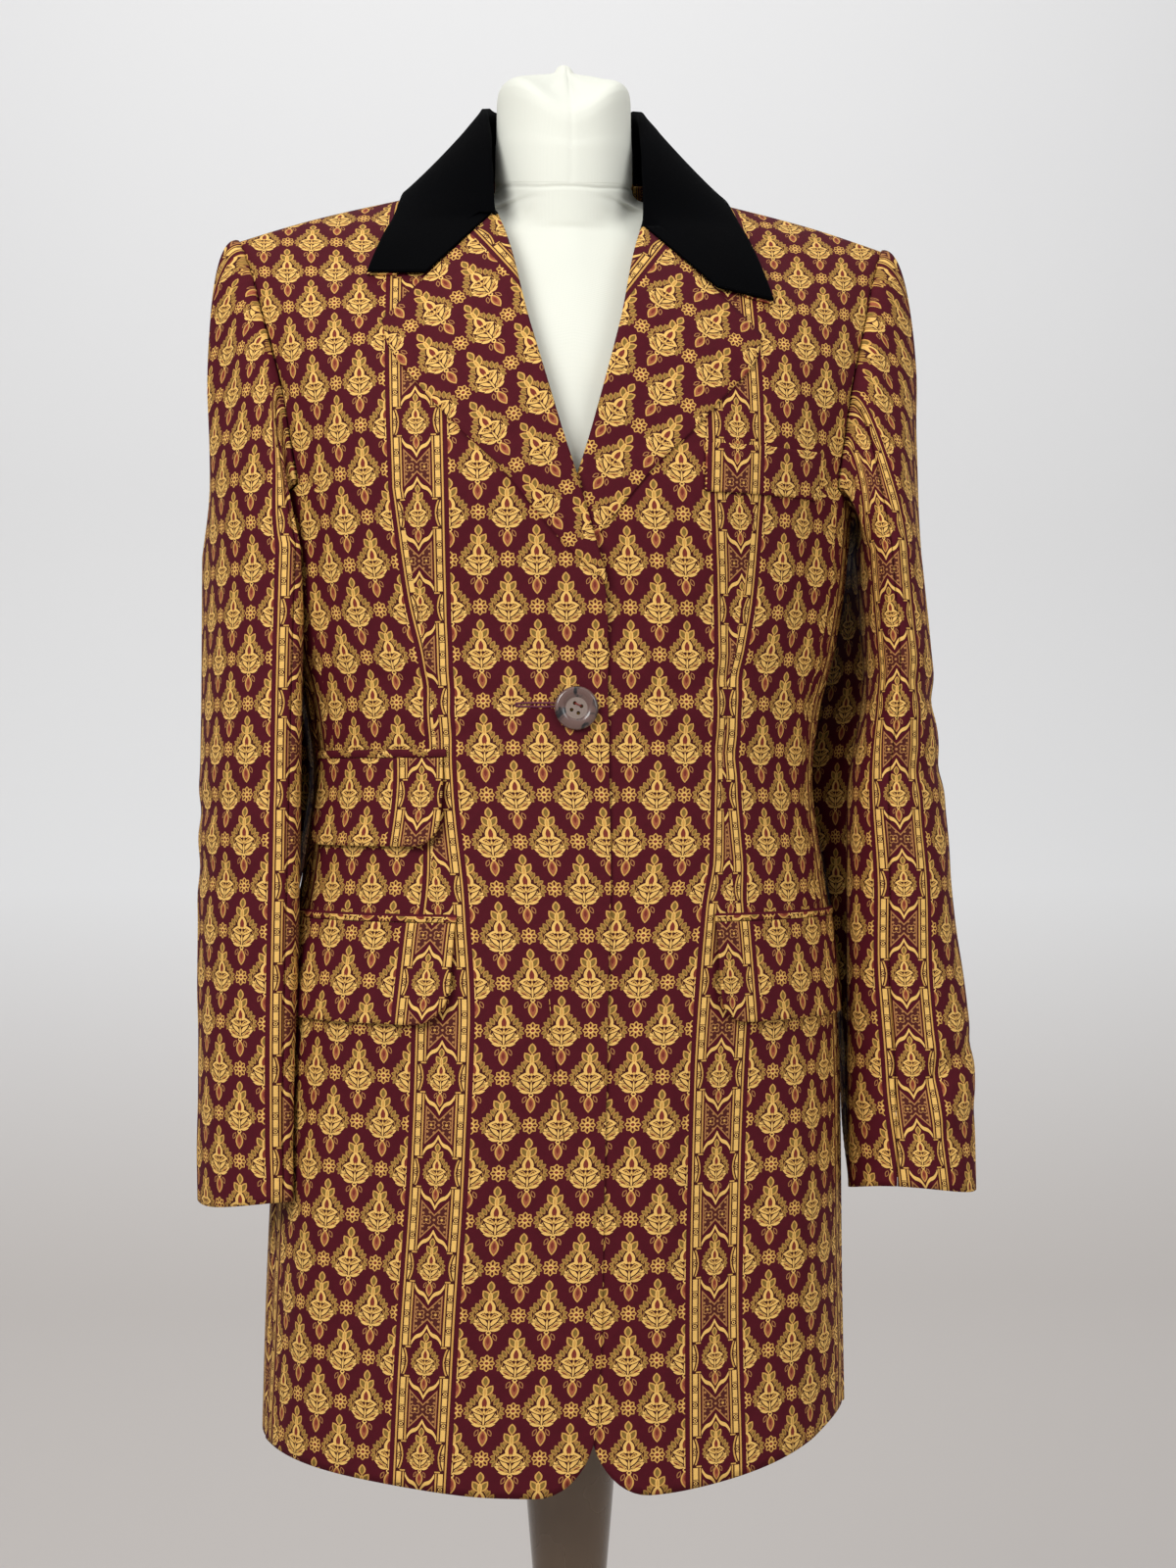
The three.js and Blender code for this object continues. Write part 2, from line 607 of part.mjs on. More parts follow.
// The lapel: the edge of the front rolled over, then lying on the front to its outer edge.
function lapel(side) {
  const face = [];
  const inner = [];
  const arc = [-90, -50, 0, 50, 90];
  for (let i = 0; i < LAPEL_ROWS; i++) {
    const t = i / (LAPEL_ROWS - 1);
    const start = rollPoint(t, side);
    const end = lapelEdge(t, side);
    const p = surfacePoint(start.x, start.z, false);
    const n = normalAt(p);
    const toward = between(start, end, 0.3);
    const across = surfacePoint(toward.x, toward.z, false).sub(p);
    across.addScaledVector(n, -across.dot(n)).normalize();
    const hard = side < 0 ? 0.45 : 0.15;
    const soft = hard + (1.2 - hard) * smooth(start.z, side < 0 ? 1180 : 1215, 1290);
    const base = frontLift(start.x, start.z, side);
    const centre = lifted(p, n, base + soft).addScaledVector(across, -SEAM);
    const around = (r, a) => {
      const raised = lifted(centre, n, r * Math.sin(rad(a)));
      return raised.addScaledVector(across, -r * Math.cos(rad(a)));
    };
    const faceRow = arc.map((a) => placed(around(soft + CLOTH, a), side));
    const innerRow = arc.map((a) => placed(around(soft, a), side));
    for (let k = 1; k <= LAPEL_COLUMNS; k++) {
      const share = k / LAPEL_COLUMNS;
      const at = between(start, end, share);
      const q = surfacePoint(at.x, at.z, false);
      const m = normalAt(q);
      const under = frontLift(at.x, at.z, side) + lerp(2 * soft, SEAM, share);
      faceRow.push(placed(lifted(q, m, under + CLOTH), side));
      innerRow.push(placed(lifted(q, m, under), side));
    }
    face.push(faceRow);
    inner.push(innerRow);
  }
  return wall(face, inner);
}

// Moves a point out along the body's normal until it stands this far off the body.
function clearOf(p, need) {
  const e = 0.4;
  const value = outside(p.x, p.y, p.z);
  const n = normalAt(p);
  const ahead = lifted(p, n, e);
  const gradient = (outside(ahead.x, ahead.y, ahead.z) - value) / e;
  const distance = value / Math.max(1e-6, gradient);
  return distance < need ? lifted(p, n, need - distance) : p;
}

const COLLAR_FRONT_EDGE = [
  { s: 0, x: 126, z: 1345.5 },
  { s: 1, x: 122.5, z: 1358 },
  { s: 2, x: 118.5, z: 1373 },
  { s: 3, x: 113, z: 1391 },
];
const COLLAR_STEPS = [0, 1, 2, 2.5, 3, 3.15, 3.3, 3.6, 4, 4.5, 5, 5.5, 6, 6.5, 7, 7.5, 8, 8.5, 9, 9.5, 10];
const COLLAR_LIFT = CLOTH + UNDER + 6 * SEAM;
const FIRST_FOLD = 2.1;
const CHEST_SLOPE = 0.52; // how much the front goes back for each millimetre up at the gorge
const FOOT_RISE = 1.5; // keeps the foot of the stand off the neck edge of the panels

// The face of the collar at one place round the neck: up the stand, over the roll, down the fall.
function collarPath(s, side) {
  const gorgeStart = rollPoint(1, side);
  const gorgeEnd = lapelEdge(1, side);
  const path = [];
  let from;
  let to;
  if (s <= 3) {
    const at = between(gorgeStart, gorgeEnd, NOTCH_SHARE * (1 - s / 3));
    from = clearOf(surfacePoint(at.x + 0.6, at.z + 0.7, false), COLLAR_LIFT);
    const rise = -side * HIGHER.collarTip * (1 - s / 3);
    const edgeX = along(COLLAR_FRONT_EDGE, "s", s, "x");
    const edgeZ = along(COLLAR_FRONT_EDGE, "s", s, "z") + rise;
    to = clearOf(surfacePoint(edgeX, edgeZ, false), COLLAR_LIFT);
    path.push(from);
  } else {
    const pick = (a) => new THREE.Vector3(...["x", "y", "z"].map((k) => along(COLLAR, "s", s, a + k)));
    const shift = -side * HIGHER.gorge * (1 - smooth(s, 3, 4));
    const foot = pick("a");
    const roll = pick("b");
    for (const p of [foot, roll]) p.add(new THREE.Vector3(0, CHEST_SLOPE * Math.min(0, shift), shift));
    const inward = new THREE.Vector3(-foot.x, 10 - foot.y, 0).normalize();
    foot.addScaledVector(inward, CLOTH + 6 * SEAM + 1.4 * (1 - smooth(s, 3.2, 3.8)));
    foot.z += FOOT_RISE;
    to = clearOf(pick("c"), COLLAR_LIFT);
    const radius = FIRST_FOLD + (COLLAR_FOLD - FIRST_FOLD) * smooth(s, 3, 5);
    const out = to.clone().sub(roll).setZ(0).normalize();
    const up = new THREE.Vector3(0, 0, 1);
    path.push(foot);
    const centre = roll.clone().addScaledVector(out, radius).addScaledVector(up, -radius);
    for (const a of [180, 145, 110, 75, 45]) {
      const raised = lifted(centre, up, radius * Math.sin(rad(a)));
      path.push(raised.addScaledVector(out, radius * Math.cos(rad(a))));
    }
    from = path[path.length - 1];
  }
  const steps = 8;
  for (let k = 1; k <= steps; k++) {
    path.push(clearOf(new THREE.Vector3().lerpVectors(from, to, k / steps), COLLAR_LIFT));
  }
  return path;
}

function alongPath(path, distances) {
  const lengths = [0];
  for (let i = 1; i < path.length; i++) lengths.push(lengths[i - 1] + path[i].distanceTo(path[i - 1]));
  return distances.map((d) => {
    let i = 1;
    while (i < path.length - 1 && lengths[i] < d) i++;
    const share = (d - lengths[i - 1]) / Math.max(1e-6, lengths[i] - lengths[i - 1]);
    return new THREE.Vector3().lerpVectors(path[i - 1], path[i], share);
  });
}

const STAND_COLUMNS = 6;
const FALL_COLUMNS = 5;

function collarRow(s, side) {
  const path = collarPath(s, side);
  let total = 0;
  let turned = 0;
  for (let i = 1; i < path.length; i++) {
    total += path[i].distanceTo(path[i - 1]);
    if (i === path.length - 9) turned = total;
  }
  const inside = Math.max(9, turned);
  const distances = [];
  for (let k = 0; k <= STAND_COLUMNS; k++) distances.push((inside * k) / STAND_COLUMNS);
  for (let k = 1; k <= FALL_COLUMNS; k++) distances.push(inside + ((total - inside) * k) / FALL_COLUMNS);
  return alongPath(path, distances).map((p) => new THREE.Vector3(side * p.x, p.y, p.z));
}

function collarGrid() {
  const right = COLLAR_STEPS.map((s) => collarRow(s, -1));
  const left = COLLAR_STEPS.slice(0, -1).map((s) => collarRow(s, 1)).reverse();
  return [...right, ...left];
}

// Normals of a grid of points, from the neighbours of each point.
function gridNormals(grid, ringed) {
  const last = grid[0].length - 1;
  return grid.map((row, i) =>
    row.map((_, j) => {
      const before = ringed && j === 0 ? last - 1 : Math.max(0, j - 1);
      const after = ringed && j === last ? 1 : Math.min(last, j + 1);
      const across = row[after].clone().sub(row[before]);
      const down = grid[Math.min(grid.length - 1, i + 1)][j].clone().sub(grid[Math.max(0, i - 1)][j]);
      return across.cross(down).normalize();
    }),
  );
}

function shifted(grid, normals, by) {
  return grid.map((row, i) => row.map((p, j) => lifted(p, normals[i][j], by)));
}

function collarParts() {
  const face = collarGrid();
  const normals = gridNormals(face, false);
  const middle = face[Math.floor(face.length / 2)];
  const out = normals[Math.floor(face.length / 2)][middle.length - 2];
  const sign = out.y > 0 ? 1 : -1;
  const from = STAND_COLUMNS + 3;
  const fall = face.map((row) => {
    const cells = row.slice(from);
    const end = cells[cells.length - 1];
    const beyond = end.clone().sub(cells[cells.length - 2]).setLength(1.2);
    return [...cells.slice(0, -1), end.clone().add(beyond)];
  });
  const fallNormals = normals.map((row) => row.slice(from));
  const under = shifted(fall, fallNormals, -sign * (CLOTH + 3 * SEAM));
  return {
    top: wall(face, shifted(face, normals, -sign * CLOTH)),
    under: wall(under, shifted(under, fallNormals, -sign * UNDER)),
  };
}

// The seam where a sleeve is set in, from the top of the shoulder down the front, under and up the back.
function armholeLoop(front, panel, back) {
  const edge = (grid) => grid.slice(SIDE_ROWS + 1).map((row) => row[row.length - 1]);
  const down = edge(front.face).reverse();
  const under = panel.face[panel.face.length - 1];
  const up = edge(back.face);
  const top = down[0].clone().add(up[up.length - 1]).multiplyScalar(0.5);
  return [top, ...down.slice(1), ...under.slice(1, -1), ...up.slice(0, -1), top.clone()];
}

function bodyHalf(y, z, side) {
  const r = ring(100, z, y > RIDGE_Y, false);
  const round = Math.max(0, 1 - (Math.abs(y - RIDGE_Y) / r.depth) ** r.power) ** (1 / r.power);
  return r.half * round + side * along(BODY, "z", z, "lean");
}

function sleeveRing(table, z, turns, side) {
  const get = (k) => along(table, "z", z, k);
  const slack = along(side < 0 ? SLACK_RIGHT : SLACK_LEFT, "z", z, "by");
  const turn = rad(get("turn"));
  return turns.map((a) => {
    const c = Math.cos(a);
    const s = Math.sin(a);
    const curl = get("curl") * Math.max(0, s) ** 3;
    const behind = slack * Math.max(0, -s) ** 1.2 * smooth(-c, -0.2, 0.6);
    const middle = get("x") + get("thin") * c * Math.cos(turn);
    const x = middle - get("deep") * s * Math.sin(turn) - curl - behind;
    const y = get("y") - get("deep") * s * Math.cos(turn) - get("thin") * c * Math.sin(turn);
    const least = bodyHalf(y, z, side) + SLEEVE_CLEAR;
    return new THREE.Vector3(Math.max(x, least), y, z);
  });
}

function sleeve(side, loop) {
  const table = side < 0 ? SLEEVE_RIGHT : SLEEVE_LEFT;
  const start = loop.map((p) => new THREE.Vector3(side * p.x, p.y, p.z));
  const lengths = [0];
  for (let i = 1; i < start.length; i++) lengths.push(lengths[i - 1] + start[i].distanceTo(start[i - 1]));
  const turns = lengths.map((d) => (2 * Math.PI * d) / lengths[lengths.length - 1]);
  const topZ = table[0].z;
  const end = sleeveRing(table, topZ, turns, side);
  const rows = [];
  for (let i = 0; i <= SLEEVE_CAP_ROWS; i++) {
    const t = i / SLEEVE_CAP_ROWS;
    rows.push(
      start.map((a, j) => {
        const high = clamp((a.z - 1208) / 183, 0, 1);
        const from = a.clone().add(new THREE.Vector3(SEAM, 0, SEAM * (1 - high)));
        const reach = 7 + 20 * high * high;
        const middle = new THREE.Vector3(
          from.x + reach,
          lerp(from.y, end[j].y, 0.3),
          from.z + 1 + 4 * high,
        );
        return new THREE.QuadraticBezierCurve3(from, middle, end[j]).getPoint(t);
      }),
    );
  }
  const cuff = table[table.length - 1].z;
  for (let i = 1; i <= SLEEVE_ROWS; i++) {
    rows.push(sleeveRing(table, topZ + ((cuff - topZ) * i) / SLEEVE_ROWS, turns, side));
  }
  const face = rows.map((row) => row.map((p) => new THREE.Vector3(side * p.x, p.y, p.z)));
  const normals = gridNormals(face, true);
  const outward = normals[SLEEVE_CAP_ROWS + 2][0].x * side > 0 ? 1 : -1;
  const inner = shifted(face, normals, -outward * CLOTH);
  const last = turns.length - 1;
  const frontSeam = turns.findIndex((a) => a > rad(88));
  const backSeam = turns.findIndex((a) => a > rad(262));
  const pick = (grid, columns, gap) =>
    grid.map((row) =>
      columns.map((j, k) => {
        const p = row[j].clone();
        const neighbour = columns[k === 0 ? 1 : k - 1];
        const atEnd = k === 0 || k === columns.length - 1;
        return atEnd ? p.addScaledVector(row[neighbour].clone().sub(p).normalize(), gap) : p;
      }),
    );
  const columns = (from, to) => Array.from({ length: to - from + 1 }, (_, k) => from + k);
  const over = [...columns(backSeam, last - 1), ...columns(0, frontSeam)];
  const under = columns(frontSeam, backSeam);
  return {
    top: wall(pick(face, over, SEAM / 2), pick(inner, over, 5 * SEAM)),
    under: wall(pick(face, under, SEAM / 2), pick(inner, under, 5 * SEAM)),
  };
}

// The angle round the ring at a distance from the middle of the front, along the cloth.
function angleAtDistance(distance, z) {
  let done = 0;
  let before = atAngle(0, z);
  for (let angle = 0.5; angle < 175; angle += 0.5) {
    const p = atAngle(angle, z);
    const step = p.distanceTo(before);
    if (done + step >= distance) return angle - 0.5 + (0.5 * (distance - done)) / step;
    done += step;
    before = p;
  }
  return 175;
}

// A piece that lies on the body: a flap, a welt or a jet, between two distances and two heights.
function onBody({ side, from, to, top, bottom, round, off }, columns, rows) {
  const face = [];
  const inner = [];
  const middle = (top + bottom) / 2;
  const marks = round ? [0, 0.1, 0.25, 0.5, 0.8].map((k) => k * round) : [0];
  const distances = [...marks.map((d) => from + d), ...marks.map((d) => to - d).reverse()];
  const width = to - from - 2 * round;
  for (let k = 0; k <= columns; k++) distances.push(from + round + (width * k) / columns);
  const unique = [...new Set(distances.map((d) => Math.round(d * 100) / 100))].sort((a, b) => a - b);
  const angles = unique.map((d) => angleAtDistance(d, middle));
  const low = unique.map((d) => {
    const near = Math.min(d - from, to - d);
    const c = round ? Math.max(0, 1 - near / round) : 0;
    return bottom + round * (1 - Math.sqrt(1 - c * c));
  });
  for (let i = 0; i <= rows; i++) {
    const faceRow = [];
    const innerRow = [];
    angles.forEach((angle, j) => {
      const z = lerp(low[j], top, i / rows);
      const p = atAngle(angle, z);
      const n = normalAt(p);
      const base = frontLift(p.x, z, side) + off;
      faceRow.push(placed(lifted(p, n, base + CLOTH), side));
      innerRow.push(placed(lifted(p, n, base), side));
    });
    face.push(faceRow);
    inner.push(innerRow);
  }
  return wall(face, inner);
}

function jet(pocket) {
  const strip = { ...pocket, from: pocket.from - 3, to: pocket.to + 3, round: 0 };
  strip.bottom = pocket.top + SEAM;
  strip.top = strip.bottom + JET_HEIGHT;
  return onBody(strip, 10, 1);
}

function turned(profile, segments) {
  const points = profile.map(({ r, z }) => new THREE.Vector2(r, z));
  return new THREE.LatheGeometry(points, segments).rotateX(Math.PI / 2);
}

function formRing(z) {
  let reach = 250;
  while (reach > 1 && ring(reach, z, false, true).line < z) reach -= 0.25;
  const body = ring(0, z, false, true).half;
  const half = Math.max(Math.min(reach, body, along(FORM_SIDE, "z", z, "x")), z > 1390 ? NECK.half : 0);
  const y0 = RIDGE_Y;
  const at = (turn, back) => {
    const s = Math.sin(turn);
    const x = half * s;
    const round = Math.max(0, 1 - Math.abs(s) ** 6) ** (1 / 6);
    let y = (surfaceY(Math.min(Math.abs(x), body), z, back, true) - y0) * round;
    if (z > 1390 && Math.abs(x) < NECK.half) {
      const neck = Math.sqrt(1 - (x / NECK.half) ** 2);
      const middle = (NECK.back - NECK.front) / 2;
      const deep = (NECK.back + NECK.front) / 2;
      const edge = middle + (back ? deep : -deep) * neck - y0;
      y = back ? Math.max(y, edge) : Math.min(y, edge);
    }
    return new THREE.Vector3(x + along(BODY, "z", z, "lean"), y + y0, z);
  };
  const count = 2 * FORM_ACROSS;
  const turns = Array.from({ length: count }, (_, k) => -Math.PI / 2 + (Math.PI * k) / count);
  return [...turns.map((turn) => at(turn, false)), ...turns.map((turn) => at(-turn, true))];
}

// Rings stacked into one closed body with flat ends.
function stacked(rings) {
  const count = rings[0].length;
  const points = rings.flat();
  const index = [];
  for (let i = 0; i < rings.length - 1; i++) {
    for (let j = 0; j < count; j++) {
      const a = i * count + j;
      const b = i * count + ((j + 1) % count);
      index.push(a, b, b + count, a, b + count, a + count);
    }
  }
  const cap = (at, flip) => {
    const centre = rings[at].reduce((sum, p) => sum.add(p), new THREE.Vector3()).divideScalar(count);
    points.push(centre);
    for (let j = 0; j < count; j++) {
      const a = at * count + j;
      const b = at * count + ((j + 1) % count);
      index.push(...(flip ? [b, a, points.length - 1] : [a, b, points.length - 1]));
    }
  };
  cap(0, true);
  cap(rings.length - 1, false);
  return closed(points, index);
}

const wasm = await Module();
wasm.setup();
function solid(geometry) {
  const plain = new THREE.BufferGeometry().setAttribute("position", geometry.getAttribute("position"));
  plain.setIndex(geometry.index);
  const merged = mergeVertices(plain, 1e-4);
  return new wasm.Manifold(
    new wasm.Mesh({
      numProp: 3,
      vertProperties: new Float32Array(merged.attributes.position.array),
      triVerts: new Uint32Array(merged.index.array),
    }),
  );
}

// The button: a turned disc with a raised rim and a dished middle, cut through by four holes.
function button() {
  const { radius, thick, rimWidth, dish, hole, holeRing } = BUTTON;
  const profile = [
    { r: 0, z: 0 },
    { r: radius - 2, z: 0 },
    { r: radius, z: 1.4 },
    { r: radius, z: 2.4 },
    { r: radius - 1.6, z: thick },
    { r: radius - rimWidth + 1.4, z: thick - 0.5 },
    { r: radius - rimWidth, z: thick - dish },
    { r: 0, z: thick - dish },
  ];
  let made = solid(turned(profile, 40));
  for (let k = 0; k < 4; k++) {
    const around = rad(20 + 90 * k);
    const drill = new THREE.CylinderGeometry(hole, hole, 3 * thick, 12).rotateX(Math.PI / 2);
    drill.translate(holeRing * Math.cos(around), holeRing * Math.sin(around), 0);
    made = made.subtract(solid(drill));
  }
  const mesh = made.getMesh();
  const geometry = new THREE.BufferGeometry();
  geometry.setAttribute("position", new THREE.BufferAttribute(new Float32Array(mesh.vertProperties), 3));
  geometry.setIndex(Array.from(mesh.triVerts));
  geometry.computeVertexNormals();
  const p = surfacePoint(0, BUTTON.z, false);
  const n = normalAt(p);
  const turn = new THREE.Quaternion().setFromUnitVectors(new THREE.Vector3(0, 0, 1), n);
  return geometry.applyQuaternion(turn).translate(...lifted(p, n, SEAM + 0.3).toArray());
}

const group = new THREE.Group();
function add(name, geometry, colour, hung = true) {
  if (hung) geometry.translate(HANG_X, 0, 0);
  const material = new THREE.MeshStandardMaterial({ color: colour, roughness: 0.8 });
  const mesh = new THREE.Mesh(geometry, material);
  mesh.name = name;
  group.add(mesh);
}

for (const side of [-1, 1]) {
  const hand = side < 0 ? "right" : "left";
  const front = frontPanel(side);
  const panel = sidePanel(side);
  const back = backPanel(side);
  const arm = sleeve(side, armholeLoop(front, panel, back));
  add(`front_${hand}`, front.geometry, colours.cloth);
  add(`side_${hand}`, panel.geometry, colours.cloth);
  add(`back_${hand}`, back.geometry, colours.cloth);
  add(`top_sleeve_${hand}`, arm.top, colours.cloth);
  add(`under_sleeve_${hand}`, arm.under, colours.cloth);
  add(`lapel_${hand}`, lapel(side), colours.cloth);
}
const collar = collarParts();
add("collar", collar.top, colours.velvet);
add("under_collar", collar.under, colours.cloth);
for (const [name, pocket] of Object.entries({
  flap_right: POCKETS.flapRight,
  flap_left: POCKETS.flapLeft,
  ticket_flap: POCKETS.ticket,
})) {
  add(name, onBody(pocket, 5, 3), colours.cloth);
  add(name.replace("flap", "jet"), jet(pocket), colours.cloth);
}
add("breast_welt", onBody(POCKETS.welt, 8, 2), colours.cloth);
add("button", button(), colours.horn);
add("form_torso", stacked(FORM_ROWS.map(formRing)), colours.jersey);
const neck = turned(NECK_PROFILE.map(({ r, z }) => ({ r: r * NECK.half, z })), 32);
neck.scale(1, (NECK.front + NECK.back) / 2 / NECK.half, 1).translate(0, (NECK.back - NECK.front) / 2, 0);
add("form_neck", neck, colours.jersey);
add("stand_column", turned(COLUMN_PROFILE, 28), colours.bronze, false);
add("stand_foot", turned(FOOT_PROFILE, 40), colours.bronze, false);

export default group;
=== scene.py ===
# %% [markdown]
# A printed blazer with a velvet collar hangs on a limbless dress form. The frame that is loaded
# here holds the plain solids. Each cell below builds one piece or one finish over them: the cloth
# as thin shells on the same measures, the print as a drawing made of shader nodes.

# %% Load the frame
import math

import bpy
import numpy as np
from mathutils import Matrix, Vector


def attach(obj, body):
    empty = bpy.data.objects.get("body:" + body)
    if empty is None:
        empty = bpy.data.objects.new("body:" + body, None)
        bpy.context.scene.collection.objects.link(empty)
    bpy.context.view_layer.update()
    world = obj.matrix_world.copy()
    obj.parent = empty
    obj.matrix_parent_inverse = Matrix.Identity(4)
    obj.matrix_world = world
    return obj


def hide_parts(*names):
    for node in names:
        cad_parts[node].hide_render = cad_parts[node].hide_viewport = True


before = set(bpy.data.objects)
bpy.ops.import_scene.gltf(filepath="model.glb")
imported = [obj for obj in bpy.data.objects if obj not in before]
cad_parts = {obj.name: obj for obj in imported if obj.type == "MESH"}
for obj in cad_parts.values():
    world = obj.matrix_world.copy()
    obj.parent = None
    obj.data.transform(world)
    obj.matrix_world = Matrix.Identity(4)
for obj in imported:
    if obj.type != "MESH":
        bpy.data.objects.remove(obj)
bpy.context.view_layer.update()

print("nodes in the frame:", len(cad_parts))

# %% [markdown]
# A tailor keeps a few measures at certain heights and lets the cloth run smoothly between them.
# A table here does the same: its first column is the place, and every other column becomes a
# smooth curve that never overshoots.

# %% Measures as smooth curves


def smooth_curve(places, values):
    places = np.array(places, float)
    values = np.array(values, float)
    if places[0] > places[-1]:
        places, values = places[::-1], values[::-1]
    slope = np.diff(values) / np.diff(places)
    tangent = np.concatenate([slope[:1], np.zeros(len(places) - 2), slope[-1:]])
    total = slope[:-1] + slope[1:]
    same_way = slope[:-1] * slope[1:] > 0
    tangent[1:-1] = np.where(same_way, 2 * slope[:-1] * slope[1:] / np.where(same_way, total, 1), 0)

    def at(place):
        x = np.clip(np.asarray(place, float), places[0], places[-1])
        i = np.clip(np.searchsorted(places, x, side="right") - 1, 0, len(places) - 2)
        width = places[i + 1] - places[i]
        t = (x - places[i]) / width
        t2, t3 = t * t, t**3
        return (
            (2 * t3 - 3 * t2 + 1) * values[i]
            + (t3 - 2 * t2 + t) * width * tangent[i]
            + (3 * t2 - 2 * t3) * values[i + 1]
            + (t3 - t2) * width * tangent[i + 1]
        )

    return at


def measures(columns, *rows):
    names = columns.split()
    return {
        name: smooth_curve([r[0] for r in rows], [r[k] for r in rows])
        for k, name in enumerate(names)
        if k
    }


def ease(value, start, end):
    t = np.clip((np.asarray(value, float) - start) / (end - start), 0, 1)
    return t * t * (3 - 2 * t)


def mixed(a, b, share):
    return a + (b - a) * share


# %% The measures of the blazer, in millimetres
CLOTH = 1.6
UNDER = 1.2
SEAM = 0.3
LAYER = CLOTH + SEAM
RIDGE_Y = 4
FALL = {"front": 170, "back": 140}
ROUNDNESS = 0.75
BUST = {"x": 84, "z": 1212, "reach": 52, "out": 8}
FRONT_SEAM = 76
BACK_SEAM = 118
SIDE_TOP = 1214
HANG_X = -4
BODY = measures(
    "z half front back power lean",
    (590, 191, 146, 137, 2.5, -6.5),
    (700, 188.5, 143, 137, 2.5, -6),
    (850, 184, 140, 136, 2.45, -3),
    (940, 176.5, 136.5, 128, 2.4, -1),
    (983, 170, 134.5, 119, 2.35, 0),
    (1040, 163.5, 133, 109, 2.3, 0),
    (1080, 168, 133, 107.5, 2.3, 0),
    (1120, 178, 133, 110, 2.3, 0),
    (1165, 185.5, 134, 115, 2.3, 0),
    (1210, 189.5, 134, 119, 2.3, 0),
    (1250, 193, 133, 121.5, 2.3, 0),
    (1300, 203, 129, 122, 2.3, 0),
    (1345, 213, 122, 120, 2.3, 0),
    (1391, 224, 116, 118, 2.3, 0),
    (1460, 238, 112, 116, 2.3, 0),
)
SHOULDER = measures(
    "x z", (0, 1446), (75, 1428), (110, 1419.5), (165, 1406), (212.6, 1391), (260, 1374)
)
SHOULDER_END = 212.6
NECK_POINT = {"x": 75, "z": 1428}
NAPE_RISE = {"cloth": 30, "form": 20}
EDGE = measures(
    "z x",
    (655, -18.5),
    (720, -21),
    (960, -21),
    (1100, -19.5),
    (1140, -19.2),
    (1157, -17),
    (1180, -10.5),
    (1211, -1.5),
    (1251, 11.4),
    (1314, 29),
    (1390, 47),
    (1400, 55.5),
    (1410, 62.5),
    (1419, 69),
    (1428, 75),
)
SWING = {"by": 32, "from": 1000}
HEM = {
    "edge": 655, "low": 605.5, "width": 37, "height": 49.5,
    "side": 620, "back": 617, "girth": 195, "side_rise": 16,
}
ARMHOLE_FRONT = measures(
    "t x z",
    (0, 172.5, 1223),
    (1, 175, 1241),
    (2, 178.5, 1266),
    (3, 183, 1289),
    (4, 189.5, 1314),
    (5, 196.5, 1339),
    (6, 202.5, 1362),
    (7, 208, 1378),
    (8, 212.6, 1391),
)
ARMHOLE_BACK = measures(
    "t x z",
    (0, 177.5, 1223),
    (1, 178.5, 1242),
    (2, 181, 1266),
    (3, 185, 1289),
    (4, 190, 1312),
    (5, 196, 1336),
    (6, 202, 1359),
    (7, 208, 1377),
    (8, 212.6, 1391),
)
UNDERARM = measures(
    "angle z", (76, 1214), (83, 1210), (90, 1208.5), (97, 1208), (104, 1208.5), (111, 1210.5), (118, 1214)
)
HIGHER = {"gorge": 5.3, "lapel": 3, "collar": 8.5}

# %% [markdown]
# The body of the jacket is a stack of rounded rectangles. Towards the shoulder seam each ring
# closes, so the front and the back meet on a ridge. One function gives the surface, one tells how
# far a point is from it, and its slope is the direction that "out of the cloth" means.

# %% The surface of the body


def ring(x, z, back):
    x = np.abs(x)
    nape = np.where(back, NAPE_RISE["cloth"] * (1 - np.minimum(1, (x / NECK_POINT["x"]) ** 4)), 0)
    line = SHOULDER["z"](np.minimum(260, x)) + nape
    height = np.clip((line - z) / np.where(back, FALL["back"], FALL["front"]), 0, 1)
    spot = -(((x - BUST["x"]) / BUST["reach"]) ** 2) - ((z - BUST["z"]) / BUST["reach"]) ** 2
    depth = np.where(back, BODY["back"](z), BODY["front"](z) + BUST["out"] * np.exp(spot))
    close = np.sin(math.pi / 2 * height**ROUNDNESS)
    return BODY["half"](z), BODY["power"](z), depth, close, line, height


def surface_y(x, z, back):
    half, power, depth, close, _, _ = ring(x, z, back)
    rounding = np.maximum(0, 1 - (np.abs(x) / half) ** power) ** (1 / power)
    return RIDGE_Y + np.where(back, 1, -1) * depth * rounding * close


def outside(p):
    x, y, z = np.abs(p[..., 0]), p[..., 1], p[..., 2]
    back = y > RIDGE_Y
    half, power, depth, close, line, height = ring(x, z, back)
    dy = np.abs(y - RIDGE_Y)
    rounding = np.maximum(1e-4, 1 - (x / half) ** power) ** (1 / power)
    ratio = np.minimum(0.9999, dy / (depth * rounding))
    top = (2 / math.pi * np.arcsin(ratio)) ** (1 / ROUNDNESS)
    top = top - (line - z) / np.where(back, FALL["back"], FALL["front"])
    deep = np.maximum(1e-6, depth * close)
    low = ((x / half) ** power + (dy / deep) ** power) ** (1 / power) - 1
    return np.where(height < 0.55, top, low)


def unit(v):
    return v / np.maximum(1e-12, np.linalg.norm(v, axis=-1, keepdims=True))


def normal_at(p):
    step = 0.4 * np.eye(3)
    return unit(np.stack([outside(p + s) - outside(p - s) for s in step], axis=-1))


def at_angle(angle, z):
    half, power, _, _, _, _ = ring(0 * z, z, False)
    s = np.sin(np.radians(angle))
    x = np.sign(s) * half * np.abs(s) ** (2 / power)
    return np.stack([x, surface_y(x, z, angle > 90), z + 0 * x], axis=-1)


